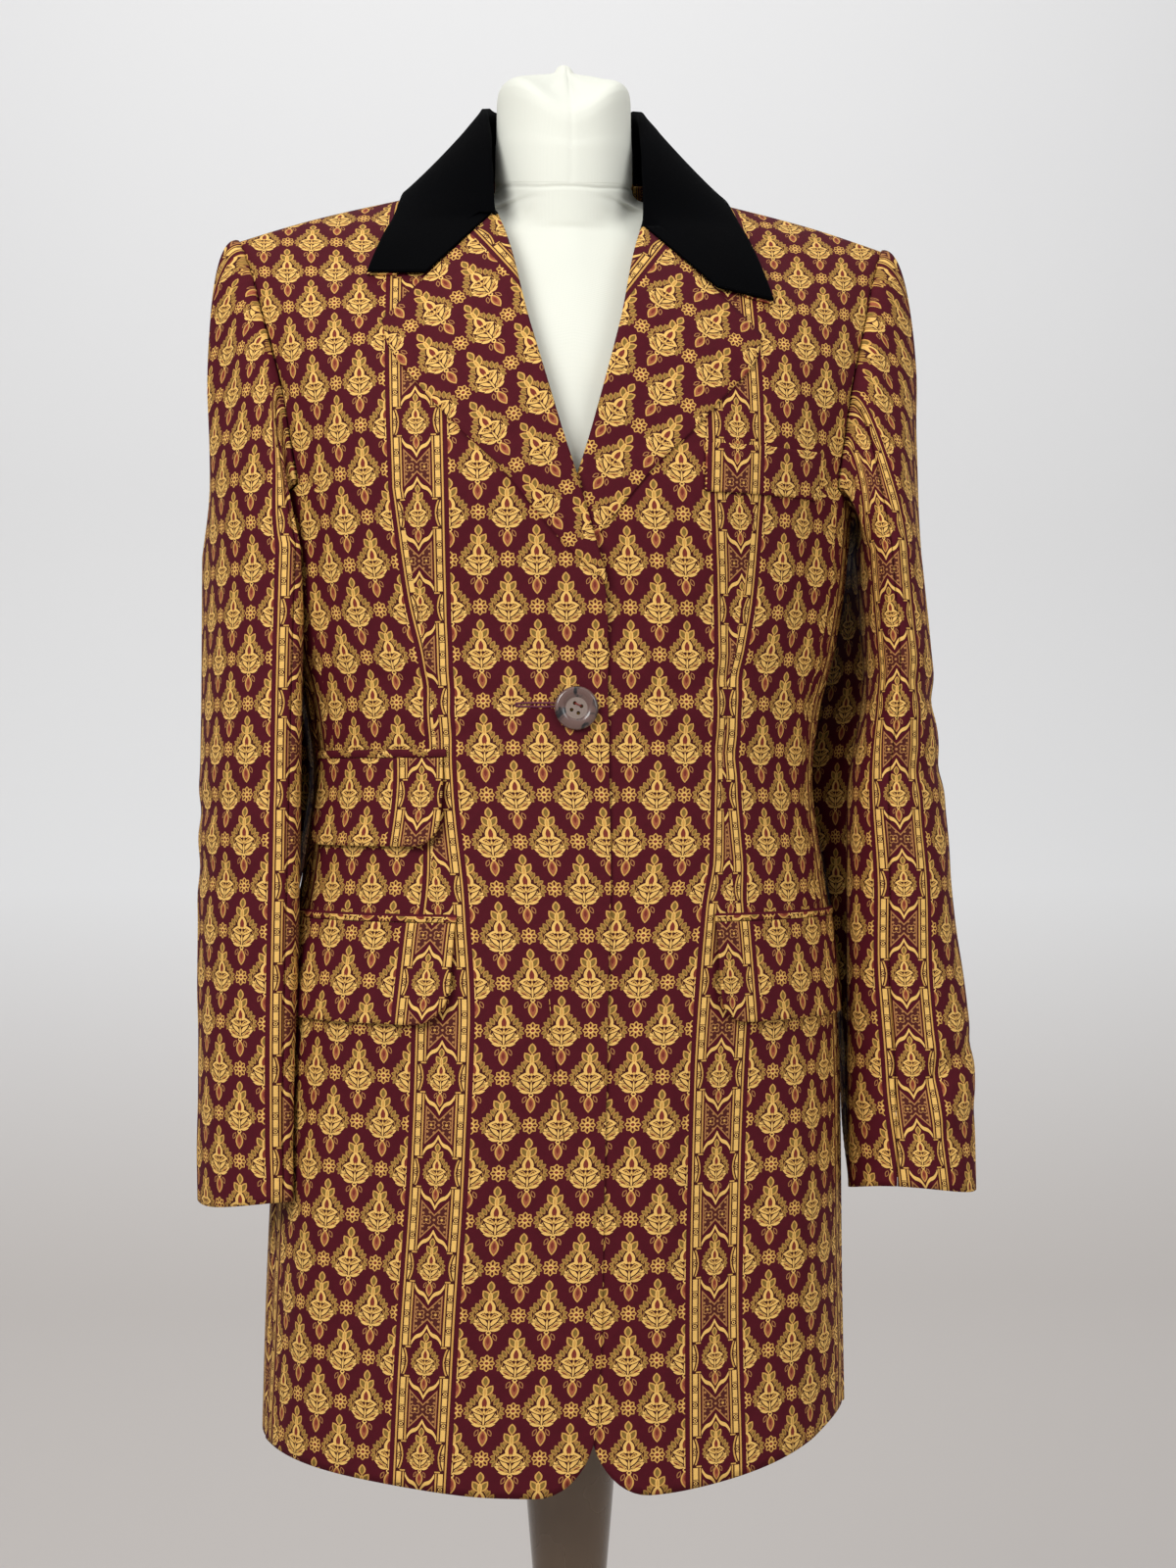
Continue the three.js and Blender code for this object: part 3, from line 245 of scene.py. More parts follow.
def angle_of(x, z, back):
    half, power, _, _, _, _ = ring(x, z, back)
    share = np.minimum(1, np.abs(x) / half) ** (power / 2)
    angle = np.sign(x) * np.degrees(np.arcsin(share))
    return np.where(back, 180 - angle, angle)


def on_surface(x, z, back=False):
    x, z = np.broadcast_arrays(np.asarray(x, float), np.asarray(z, float))
    return np.stack([x, surface_y(x, z, back), z], axis=-1)


GIRTH_ANGLES = np.linspace(0, 180, 721)
GIRTH_HEIGHTS = np.linspace(590, 1440, 171)
PER_DEGREE = 4
PER_LEVEL = 5
ring_points = at_angle(GIRTH_ANGLES[None, :], GIRTH_HEIGHTS[:, None] + 0 * GIRTH_ANGLES[None, :])
ring_steps = np.linalg.norm(np.diff(ring_points, axis=1), axis=-1)
GIRTH = np.concatenate([np.zeros((len(ring_steps), 1)), np.cumsum(ring_steps, axis=1)], axis=1)


def girth(angle, z):
    """Distance round the cloth from the middle of the front, in millimetres."""
    a = np.clip(np.abs(angle) * PER_DEGREE, 0, 719.999)
    h = np.clip((np.asarray(z, float) - GIRTH_HEIGHTS[0]) / PER_LEVEL, 0, 169.999)
    i, j = h.astype(int), a.astype(int)
    di, dj = h - i, a - j
    low = GIRTH[i, j] * (1 - dj) + GIRTH[i, j + 1] * dj
    high = GIRTH[i + 1, j] * (1 - dj) + GIRTH[i + 1, j + 1] * dj
    return np.sign(angle) * (low * (1 - di) + high * di)


def angle_at_girth(distance, z):
    at_height = [np.interp(z, GIRTH_HEIGHTS, GIRTH[:, j]) for j in range(0, 721, 2)]
    return np.interp(distance, at_height, GIRTH_ANGLES[::2])


print("girth of the waist in mm:", round(float(2 * girth(np.array(180.0), 1070.0))))

# %% [markdown]
# A piece of cloth is a grid of points: its face. The shell gets its thickness from the Solidify
# modifier, which keeps the face where it is, and every corner of the grid also carries its place
# on the flat cloth, so that the print can follow the grain. Creases, seams and the pull of the
# button are added to the face one by one, before it becomes a mesh.

# %% Helpers for a piece of cloth


def walked(path):
    """The way covered at each point of a path, from its start."""
    return np.concatenate([[0], np.cumsum(np.linalg.norm(np.diff(path, axis=0), axis=-1))])


def grid_normals(face, closed=False):
    across = np.gradient(face, axis=1)
    if closed:
        across[:, 0] = across[:, -1] = face[:, 1] - face[:, -2]
    return unit(np.cross(across, np.gradient(face, axis=0)))


def edge_distance(face, edge):
    rows = {"right": face[:, ::-1], "left": face}
    columns = {"top": face[::-1], "bottom": face}
    if edge in rows:
        steps = np.linalg.norm(np.diff(rows[edge], axis=1), axis=-1)
        far = np.concatenate([np.zeros((len(face), 1)), np.cumsum(steps, axis=1)], axis=1)
        return far[:, ::-1] if edge == "right" else far
    steps = np.linalg.norm(np.diff(columns[edge], axis=0), axis=-1)
    far = np.concatenate([np.zeros((1, face.shape[1])), np.cumsum(steps, axis=0)], axis=0)
    return far[::-1] if edge == "top" else far


def tucked(face, normals, edges, depth=1.1, reach=1.7):
    """Pulls the cloth down where it turns into a seam."""
    drop = np.zeros(face.shape[:2])
    for edge in edges:
        drop = np.maximum(drop, depth * np.exp(-((edge_distance(face, edge) / reach) ** 2)))
    return face - normals * drop[..., None]


def height_on_cloth(face, normals, start):
    """Length up the grain from the hem, over every curve of the piece."""
    level = unit(np.cross(normals, np.array([0.0, 0, 1])))
    step = np.diff(face, axis=0)
    side = level[1:]
    up = step - np.sum(step * side, axis=-1, keepdims=True) * side
    return np.concatenate([start[None], start[None] + np.cumsum(np.linalg.norm(up, axis=-1), axis=0)])


def cut_size(face):
    """Width and length of the smallest rectangle of cloth for a piece, in metres, and its area."""
    across = np.linalg.norm(np.diff(face, axis=1), axis=-1)
    down = np.linalg.norm(np.diff(face, axis=0), axis=-1)
    width = across.sum(axis=1).max() / 1000 + 0.0005
    length = max(0.01, down.sum(axis=0).max() / 1000 + 0.0005)
    a, b = face[1:, 1:] - face[:-1, :-1], face[1:, :-1] - face[:-1, 1:]
    area = np.linalg.norm(np.cross(a, b), axis=-1).sum() / 2e6
    return round(float(width), 3), round(float(length), 3), round(float(area), 5)


def new_mesh(name, points, faces):
    mesh = bpy.data.meshes.new(name)
    mesh.from_pydata((np.asarray(points) / 1000).tolist(), [], faces)
    mesh.update()
    mesh.shade_smooth()
    obj = bpy.data.objects.new(name, mesh)
    bpy.context.scene.collection.objects.link(obj)
    return obj


def grid_faces(rows, columns):
    i, j = np.meshgrid(np.arange(rows - 1), np.arange(columns - 1), indexing="ij")
    a = (i * columns + j).ravel()
    return np.stack([a, a + 1, a + columns + 1, a + columns], axis=1)


def tube_faces(count, around, closed=False):
    """Quads between rings of points; a closed tube joins its last ring to the first."""
    faces = []
    for i in range(count if closed else count - 1):
        a, b = i * around, ((i + 1) % count) * around
        for k in range(around):
            n = (k + 1) % around
            faces.append((a + k, a + n, b + n, b + k))
    return faces


def dressed(obj, finish, node=None):
    """Gives a piece its finish and its place in the frame."""
    obj.data.materials.append(MATERIALS[finish])
    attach(obj, "root")
    if node:
        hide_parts(node)


def cloth_piece(
    name, face, node, grain, thickness=CLOTH, jumps=(), cut=None
):
    """A shell from its face. grain is (across, up) in millimetres; jumps are added past a seam."""
    rows, columns = face.shape[:2]
    points = face.reshape(-1, 3) + [HANG_X, 0, 0]
    quads = grid_faces(rows, columns)
    middle = grid_normals(face)[rows // 2, columns // 2]
    centre = face[rows // 2, columns // 2]
    outward = middle @ (centre - [0, 10, centre[2]]) > 0
    if "sleeve" in name or name in ("velvet_collar", "under_collar_print"):
        outward = not FLIPPED.get(name, False)
    if not outward:
        quads = quads[:, ::-1]
    obj = new_mesh(name, points, quads.tolist())
    chart = np.stack([g.ravel() for g in grain], axis=1)[quads] / 1000
    for from_column, to_row, by in jumps:
        past = ((quads % columns).min(axis=1) >= from_column) & ((quads // columns).max(axis=1) <= to_row)
        chart[..., 0] += np.where(past[:, None], by.ravel()[quads], 0) / 1000
    layer = obj.data.uv_layers.new(name="cloth")
    layer.data.foreach_set("uv", chart.reshape(-1).astype(np.float32))
    shell = obj.modifiers.new("thickness", "SOLIDIFY")
    shell.thickness = thickness / 1000
    shell.offset = -1
    width, length, area = cut_size(face)
    width, length = cut or (width, length)
    if name == "velvet_collar":
        dressed(obj, "velvet", node)
    else:
        dressed(obj, "print", node)
    print(name, "cut", width, "x", length, "m, quads", len(quads))


FLIPPED = {}
MATERIALS = {}

# %% [markdown]
# The print is a traditional diaper: lotus palmettes and small rosettes on a half-drop lattice,
# with ogee stripes between them. It could be a picture laid on the cloth, but a drawing made of
# shader nodes stays sharp at any distance. A small class lets the sums be written as plain sums.

# %% Sums as shader nodes


class Wire:
    def __init__(self, tree, socket):
        self.tree, self.socket = tree, socket

    def sum(self, operation, *others):
        node = self.tree.nodes.new("ShaderNodeMath")
        node.operation = operation
        for socket, value in zip(node.inputs, (self, *others)):
            feed(self.tree, socket, value)
        return Wire(self.tree, node.outputs[0])

    def __add__(self, other):
        return self.sum("ADD", other)

    def __sub__(self, other):
        return self.sum("SUBTRACT", other)

    def __mul__(self, other):
        return self.sum("MULTIPLY", other)

    def __truediv__(self, other):
        return self.sum("DIVIDE", other)

    def __abs__(self):
        return self.sum("ABSOLUTE")

    def below(self, other):
        return self.sum("LESS_THAN", other)

    def above(self, other):
        return self.sum("GREATER_THAN", other)

    def within(self, low, high):
        return self.above(low) * self.below(high)

    def folded(self, period):
        """The distance from the nearest multiple of the period, with its sign."""
        return self.sum("WRAP", period / 2, -period / 2)


def feed(tree, socket, value):
    if isinstance(value, Wire):
        tree.links.new(value.socket, socket)
    elif hasattr(value, "is_output"):
        tree.links.new(value, socket)
    else:
        socket.default_value = value


def combined(tree, x, y):
    node = tree.nodes.new("ShaderNodeCombineXYZ")
    feed(tree, node.inputs[0], x)
    feed(tree, node.inputs[1], y)
    return Wire(tree, node.outputs[0])


def parted(tree, vector):
    node = tree.nodes.new("ShaderNodeSeparateXYZ")
    feed(tree, node.inputs[0], vector)
    return Wire(tree, node.outputs[0]), Wire(tree, node.outputs[1])


def painted(tree, under, over, where):
    node = tree.nodes.new("ShaderNodeMix")
    node.data_type = "RGBA"
    feed(tree, node.inputs["Factor"], where)
    feed(tree, node.inputs[6], under)
    feed(tree, node.inputs[7], over)
    return Wire(tree, node.outputs[2])


def picked(tree, under, over, where):
    node = tree.nodes.new("ShaderNodeMix")
    node.data_type = "FLOAT"
    feed(tree, node.inputs["Factor"], where)
    feed(tree, node.inputs[2], under)
    feed(tree, node.inputs[3], over)
    return Wire(tree, node.outputs[0])


def group_of(name, inputs, outputs):
    """A shader node group with named inputs and outputs: (name, kind, value) rows."""
    tree = bpy.data.node_groups.new(name, "ShaderNodeTree")
    for label, kind, value in inputs:
        socket = tree.interface.new_socket(label, in_out="INPUT", socket_type="NodeSocket" + kind)
        if value is not None:
            socket.default_value = value
    for label, kind in outputs:
        tree.interface.new_socket(label, in_out="OUTPUT", socket_type="NodeSocket" + kind)
    enter = tree.nodes.new("NodeGroupInput")
    leave = tree.nodes.new("NodeGroupOutput")
    return tree, {s.name: Wire(tree, s) for s in enter.outputs if s.name}, leave


def placed_group(tree, group, **values):
    node = tree.nodes.new("ShaderNodeGroup")
    node.node_tree = group
    for label, value in values.items():
        feed(tree, node.inputs[label.replace("_", " ")], value)
    return {s.name: Wire(tree, s) for s in node.outputs}


def linear(red, green, blue):
    def channel(c):
        c /= 255
        return c / 12.92 if c <= 0.04045 else ((c + 0.055) / 1.055) ** 2.4

    return (channel(red), channel(green), channel(blue), 1)


INK = {
    "ground": linear(76, 17, 28),
    "bright": linear(229, 184, 103),
    "gold": linear(203, 155, 81),
    "dull": linear(172, 128, 66),
    "olive": linear(128, 100, 48),
    "clay": linear(156, 88, 60),
    "rust": linear(120, 52, 40),
    "dark": linear(62, 22, 22),
    "panel": linear(78, 34, 30),
    "dot": linear(168, 118, 70),
}
print("inks:", ", ".join(INK))

# %% [markdown]
# Every leaf of the palmette is the same brush mark: a pointed oval with an outline. The group
# below draws one. It takes the picture so far, paints its outline over it, then its fill.

# %% One leaf of the print
leaf, ports, leave = group_of(
    "leaf_mark",
    [
        ("Under", "Color", (0, 0, 0, 1)),
        ("Chart", "Vector", None),
        ("Place", "Vector", None),
        ("Turn", "Vector", None),
        ("Size", "Vector", (1, 1, 1)),
        ("Border", "Float", 0.7),
        ("Line", "Color", (0, 0, 0, 1)),
        ("Fill", "Color", (1, 1, 1, 1)),
    ],
    [("Color", "Color")],
)
own = leaf.nodes.new("ShaderNodeMapping")
own.vector_type = "TEXTURE"
for label, source in (("Vector", "Chart"), ("Location", "Place"), ("Rotation", "Turn"), ("Scale", "Size")):
    feed(leaf, own.inputs[label], ports[source])
along_leaf, across_leaf = parted(leaf, own.outputs[0])
reach = abs(across_leaf) + along_leaf * along_leaf
inked = painted(leaf, ports["Under"], ports["Line"], reach.below(1.0))
feed(leaf, leave.inputs[0], painted(leaf, inked, ports["Fill"], reach.below(ports["Border"])))

# %% The palmette, leaf by leaf
PALMETTE = [
    # x, y, turn, half length, half width, border, line, fill
    (0.0, -15.9, 90, 5.2, 2.9, 0.66, "gold", "clay"),
    (0.0, -15.2, 90, 2.2, 1.0, 0.9, "rust", "rust"),
    (3.9, -12.9, -62, 2.4, 1.3, 0.55, "dot", "ground"),
    (6.0, 1.2, 60, 7.0, 4.2, 0.1, "dark", "dark"),
    (3.9, 7.7, 74, 3.0, 1.9, 0.5, "dull", "olive"),
    (5.0, 8.0, 50, 2.3, 1.4, 0.5, "dull", "olive"),
    (7.1, 5.6, 54, 2.6, 1.6, 0.5, "dull", "olive"),
    (9.0, 3.6, 34, 2.5, 1.4, 0.5, "dull", "olive"),
    (10.2, 1.2, 8, 2.2, 1.3, 0.5, "dull", "olive"),
    (10.6, -1.2, -22, 2.0, 1.2, 0.5, "dull", "olive"),
    (9.9, -3.1, -52, 2.0, 1.0, 0.5, "dull", "olive"),
    (8.9, 0.6, 84, 3.2, 1.2, 0.4, "dull", "dark"),
    (5.4, -4.2, 58, 3.6, 1.7, 0.8, "dark", "bright"),
    (7.2, -4.0, 50, 2.9, 1.4, 0.8, "dark", "bright"),
    (5.3, -6.0, 22, 5.0, 2.0, 0.84, "dark", "bright"),
    (3.8, -8.2, 10, 3.9, 1.5, 0.8, "dark", "bright"),
    (4.4, -6.3, 34, 3.6, 0.9, 0.8, "dark", "gold"),
    (5.4, -6.3, 24, 2.4, 0.45, 0.9, "olive", "rust"),
    (3.3, -3.3, 44, 6.2, 1.9, 0.6, "dark", "bright"),
    (0.0, 0.9, 0, 8.8, 3.6, 0.1, "dark", "dark"),
    (0.0, 5.0, 90, 6.2, 4.2, 0.1, "dark", "dark"),
    (0.0, 0.8, 0, 7.9, 3.0, 0.5, "bright", "panel"),
    (0.0, 4.6, 90, 5.4, 3.5, 0.44, "bright", "rust"),
    (0.0, 0.2, 0, 3.9, 1.7, 0.1, "dark", "dark"),
    (3.4, 0.3, 0, 1.3, 1.1, 0.35, "gold", "dark"),
    (0.0, 2.0, 90, 1.0, 1.0, 0.3, "gold", "bright"),
    (0.0, -1.4, 90, 2.5, 0.9, 0.5, "gold", "bright"),
    (1.4, -0.9, 60, 1.9, 0.5, 0.9, "gold", "gold"),
    (0.0, -5.6, 90, 4.6, 1.0, 0.6, "dark", "bright"),
    (2.4, 12.2, 54, 3.9, 2.3, 0.56, "gold", "olive"),
    (0.0, 11.3, 90, 3.4, 1.4, 0.6, "bright", "gold"),
    (0.0, 17.6, 90, 3.4, 2.4, 0.56, "gold", "olive"),
    (0.0, -10.2, 0, 1.6, 1.6, 0.36, "bright", "dark"),
]
ROSETTE = [
    (0.0, 0.0, 0, 4.4, 3.6, 0.1, "dark", "dark"),
    (0.0, 3.1, 90, 2.1, 1.7, 0.42, "gold", "ground"),
    (3.0, 0.0, 0, 2.0, 1.6, 0.42, "gold", "ground"),
    (2.3, 2.2, 44, 2.0, 1.6, 0.42, "gold", "ground"),
    (0.0, 0.0, 0, 1.9, 1.9, 0.5, "bright", "rust"),
]


def drawn(tree, marks, chart, under):
    for x, y, turn, long, wide, border, line, fill in marks:
        under = placed_group(
            tree,
            leaf,
            Under=under,
            Chart=chart,
            Place=(x, y, 0),
            Turn=(0, 0, math.radians(turn)),
            Size=(long, wide, 1),
            Border=border,
            Line=INK[line],
            Fill=INK[fill],
        )["Color"]
    return under


print("marks:", len(PALMETTE), "in the palmette,", len(ROSETTE), "in the rosette")

# %% [markdown]
# The lattice folds the cloth over and over until every palmette lies on the first one. The stripe
# folds too: across its middle, and along its length once for each ogee.

# %% The whole print
REPEAT = 57.0
COLUMN = 17.45
STRIPE_WIDER = 1.1
STRIPE_HALF = 18.0 * STRIPE_WIDER
BAND_HALF = 15.3
PANEL_HALF = 7.9
FIRST_COLUMN = 20.0
OGEE = {"narrow": 0.66, "short": 0.84, "foot": 9.0, "peak": 20.5, "break": 8.8}
STRIPES_APART = 2 * FIRST_COLUMN + 6 * COLUMN

print_group, ports, leave = group_of(
    "garment_print", [("Chart", "Vector", None)], [("Color", "Color"), ("Gold", "Float")]
)
t = print_group
u, v = parted(t, ports["Chart"])
u = u * 1000.0
v = v * 1000.0
from_stripe = abs(u.folded(STRIPES_APART))
up = v.folded(REPEAT)
on_stripe = from_stripe.below(STRIPE_HALF)

x0 = (from_stripe - FIRST_COLUMN).folded(2 * COLUMN)
outer = (abs(x0) / COLUMN + abs(up) / (REPEAT / 2)).above(1.0)
x_sign = x0.sum("SIGN")
y_sign = up.sum("SIGN")
x1 = abs(x0 - x_sign * outer * COLUMN)
y1 = up - y_sign * outer * (REPEAT / 2)
sideways = (x1 / COLUMN).above(abs(y1) / (REPEAT / 2))
xr = picked(t, x1, (x1 - COLUMN), sideways)
yr = picked(t, abs(y1) - REPEAT / 2, y1, sideways)
rosette_chart = combined(t, abs(xr), abs(yr))
lane = from_stripe / STRIPE_WIDER
palmette_x = picked(t, x1, lane / OGEE["narrow"], on_stripe)
palmette_y = picked(t, y1, up / OGEE["short"], on_stripe)
palmette_chart = combined(t, palmette_x, palmette_y)

rise = abs(up)
arch = (lane * (2 * math.pi / OGEE["foot"])).sum("SINE") * -1.3 - lane * 1.29 + OGEE["peak"]
past_arch = (rise - arch) * 0.66
past_panel = (rise + lane * 1.09 - 25.3) * 0.68
inner = lane.below(OGEE["foot"])
in_panel = past_panel.above(0.0) * lane.below(PANEL_HALF)

picture = drawn(t, ROSETTE, rosette_chart, INK["ground"])
picture = painted(t, picture, INK["ground"], on_stripe)
picture = drawn(t, PALMETTE, palmette_chart, picture)

flower_x = lane - 4.4
flower_y = rise - REPEAT / 2
far = (flower_x * flower_x + flower_y * flower_y).sum("SQRT")
petal = abs((flower_x.sum("ARCTAN2", flower_y) * 2.0).sum("SINE")) * 1.3
panel = painted(t, INK["panel"], INK["dot"], (far - petal).within(1.2, 1.9))
panel = painted(t, panel, INK["gold"], far.below(0.8))
for x, y in ((6.2, 7.2), (2.6, 4.6), (6.4, 4.0), (0.0, 0.0)):
    spot_x = lane - x
    spot_y = rise - (REPEAT / 2 - y)
    spot = (spot_x * spot_x + spot_y * spot_y).sum("SQRT")
    panel = painted(t, panel, INK["dot"], spot.below(0.75))
edge = past_panel.sum("MINIMUM", (lane * -1.0) + PANEL_HALF)
panel = painted(t, panel, INK["dot"], edge.below(0.75))
picture = painted(t, picture, panel, in_panel)
beyond = past_arch.above(-0.5) * inner
picture = painted(t, picture, INK["ground"], beyond * past_panel.below(0.0))
for low, high, ink in ((-0.6, 1.9, "dark"), (-0.15, 1.45, "bright"), (1.9, 3.1, "ground")):
    picture = painted(t, picture, INK[ink], past_arch.within(low, high) * inner)

# the band on each side, which bulges beside the palmette
bulge = rise * -1.0 + OGEE["break"]
bulges = bulge.above(0.0)
bow = (rise / OGEE["break"]).sum("POWER", 2.0) * 2.1 + 10.0
step = picked(t, OGEE["foot"], bow, bulges)
for low, high, ink in (
    (-0.5, 5.9, "dark"),
    (0.0, 0.9, "gold"),
    (1.7, 5.6, "bright"),
):
    inside = (lane - step).within(low, high) * lane.below(13.6)
    picture = painted(t, picture, INK[ink], inside)
for at in (0.0, 19.0, 28.5):
    mark_y = abs(rise - at)
    mark_x = abs(lane - 12.2)
    mark = (mark_x * mark_x + mark_y * mark_y).sum("SQRT")
    picture = painted(t, picture, INK["dark"], mark.within(1.05, 1.6))
    picture = painted(t, picture, INK["dark"], mark.below(0.5))
    picture = painted(t, picture, INK["dark"], mark_y.within(1.9, 2.35) * lane.within(10.8, 13.4))
hook = abs(bulge)
picture = painted(t, picture, INK["dark"], hook.below(0.9) * lane.within(8.2, 13.6))
picture = painted(t, picture, INK["gold"], hook.below(0.45) * lane.within(8.6, 11.6))
picture = painted(t, picture, INK["dark"], lane.within(13.4, BAND_HALF + 0.3))
picture = painted(t, picture, INK["gold"], lane.within(14.2, BAND_HALF - 0.1))

tone = t.nodes.new("ShaderNodeTexNoise")
tone.inputs["Scale"].default_value = 160
feed(t, tone.inputs["Vector"], ports["Chart"])
faded = Wire(t, tone.outputs[0]) * 0.3 + 0.85
shade = t.nodes.new("ShaderNodeVectorMath")
shade.operation = "SCALE"
feed(t, shade.inputs[0], picture)
feed(t, shade.inputs["Scale"], faded)
feed(t, leave.inputs["Color"], shade.outputs[0])
split = t.nodes.new("ShaderNodeSeparateColor")
feed(t, split.inputs[0], picture)
feed(t, leave.inputs["Gold"], (Wire(t, split.outputs[1]) * 2.0).sum("MINIMUM", 1.0))
print("nodes in the print:", len(t.nodes))

# %% [markdown]
# Up close the cloth is a fine twill. The same group of threads serves the print and the jersey
# with its own spacing, and gives a height for a Bump node.

# %% Threads as a height
threads, ports, leave = group_of(
    "threads",
    [("Chart", "Vector", None), ("Spacing", "Float", 0.6), ("Slant", "Float", 1.0)],
    [("Height", "Float")],
)
across, upward = parted(threads, ports["Chart"])
across = across * 1000.0
upward = upward * 1000.0
turns = (across * ports["Slant"] + upward) / ports["Spacing"]
ribs = (turns * (2 * math.pi)).sum("SINE") * 0.5 + 0.5
cross = ((across / ports["Spacing"]) * (2 * math.pi)).sum("SINE") * 0.25
feed(threads, leave.inputs["Height"], ribs + cross)


def new_material(name):
    material = bpy.data.materials.new(name)
    material.use_nodes = True
    shader = material.node_tree.nodes["Principled BSDF"]
    return material, material.node_tree, shader


def bumped(tree, shader, height, strength, distance):
    node = tree.nodes.new("ShaderNodeBump")
    node.inputs["Strength"].default_value = strength
    node.inputs["Distance"].default_value = distance
    feed(tree, node.inputs["Height"], height)
    feed(tree, shader.inputs["Normal"], node.outputs[0])


def own_place(tree):
    """The piece's own coordinates."""
    return tree.nodes.new("ShaderNodeTexCoord").outputs["Object"]


def clouds(tree, scale, detail=2.0, distortion=0.0):
    """Soft clouds in the piece's own coordinates, as a value."""
    noise = tree.nodes.new("ShaderNodeTexNoise")
    noise.inputs["Scale"].default_value = scale
    noise.inputs["Detail"].default_value = detail
    noise.inputs["Distortion"].default_value = distortion
    feed(tree, noise.inputs["Vector"], own_place(tree))
    return Wire(tree, noise.outputs[0])


def uv_chart(tree, name):
    chart = tree.nodes.new("ShaderNodeUVMap")
    chart.uv_map = name
    return chart.outputs[0]


# %% The printed cloth
material, tree, shader = new_material("printed_cloth_finish")
chart = uv_chart(tree, "cloth")
inked = placed_group(tree, print_group, Chart=chart)
weave = placed_group(tree, threads, Chart=chart, Spacing=0.7, Slant=1.0)
feed(tree, shader.inputs["Base Color"], inked["Color"])
feed(tree, shader.inputs["Roughness"], inked["Gold"] * -0.14 + 0.74)
bumped(tree, shader, weave["Height"], 0.35, 0.0002)
shader.inputs["Specular IOR Level"].default_value = 0.1
MATERIALS["print"] = material

# %% [markdown]
# Velvet is black because its pile stands up and swallows light: it only shines where it is seen
# from the side. The sheen of the shader does that. Soft clouds in the roughness are where a hand
# has brushed the pile the other way.

# %% The velvet
material, tree, shader = new_material("velvet_finish")
brushed = clouds(tree, 26, detail=4)
tinted = painted(tree, linear(1, 1, 2), linear(5, 6, 8), brushed.sum("POWER", 2.0))
feed(tree, shader.inputs["Base Color"], tinted)
feed(tree, shader.inputs["Roughness"], brushed * 0.2 + 0.75)
bumped(tree, shader, clouds(tree, 1400), 0.6, 0.0004)
shader.inputs["Specular IOR Level"].default_value = 0.03
shader.inputs["Sheen Weight"].default_value = 0.014
shader.inputs["Sheen Roughness"].default_value = 0.3
shader.inputs["Sheen Tint"].default_value = linear(120, 135, 150)
MATERIALS["velvet"] = material

# %% The jersey of the form
material, tree, shader = new_material("jersey_finish")
knit = placed_group(tree, threads, Chart=own_place(tree), Spacing=0.9, Slant=0.0)
tinted = painted(tree, linear(226, 228, 218), linear(215, 217, 207), clouds(tree, 9))
feed(tree, shader.inputs["Base Color"], tinted)
bumped(tree, shader, knit["Height"], 0.12, 0.0002)
shader.inputs["Roughness"].default_value = 0.82
shader.inputs["Specular IOR Level"].default_value = 0.25
shader.inputs["Sheen Weight"].default_value = 0.05
MATERIALS["jersey"] = material

# %% The bronze lacquer of the stand
material, tree, shader = new_material("bronze_finish")
flow = clouds(tree, 30)
feed(tree, shader.inputs["Base Color"], painted(tree, linear(88, 70, 54), linear(104, 86, 68), flow))
feed(tree, shader.inputs["Roughness"], flow * 0.12 + 0.2)
shader.inputs["Metallic"].default_value = 0.35
shader.inputs["Coat Weight"].default_value = 0.5
shader.inputs["Coat Roughness"].default_value = 0.08
MATERIALS["bronze"] = material

# %% The horn of the button and its thread
DISH_RADIUS = 0.0066
material, tree, shader = new_material("horn_finish")
smoke = clouds(tree, 95, detail=3, distortion=1.2)
disc_x, disc_y = parted(tree, uv_chart(tree, "disc"))
far = (disc_x * disc_x + disc_y * disc_y).sum("SQRT")
mottle = ((smoke - 0.49) * 9.0).sum("MAXIMUM", 0.0).sum("MINIMUM", 1.0)
rim = painted(tree, linear(100, 76, 70), linear(24, 22, 26), mottle)
tinted = painted(tree, rim, linear(132, 116, 108), far.below(DISH_RADIUS))
feed(tree, shader.inputs["Base Color"], tinted)
feed(tree, shader.inputs["Roughness"], smoke * 0.2 + 0.18)
shader.inputs["Coat Weight"].default_value = 0.4
shader.inputs["Coat Roughness"].default_value = 0.06
MATERIALS["horn"] = material


def thread_material(name, colour):
    material, tree, shader = new_material(name)
    ply = tree.nodes.new("ShaderNodeTexWave")
    ply.inputs["Scale"].default_value = 900
    feed(tree, ply.inputs["Vector"], own_place(tree))
    # painted shade: the grooves between the plies are painted darker than the thread's own colour
    ply_groove_shade = tuple(c * 0.6 for c in colour[:3]) + (1,)
    feed(tree, shader.inputs["Base Color"], painted(tree, ply_groove_shade, colour, ply.outputs["Fac"]))
    bumped(tree, shader, ply.outputs["Fac"], 0.4, 0.0002)
    shader.inputs["Roughness"].default_value = 0.6
    MATERIALS[name] = material


thread_material("maroon_thread", linear(104, 22, 60))
thread_material("red_thread", linear(140, 40, 30))
print("finishes:", ", ".join(MATERIALS))
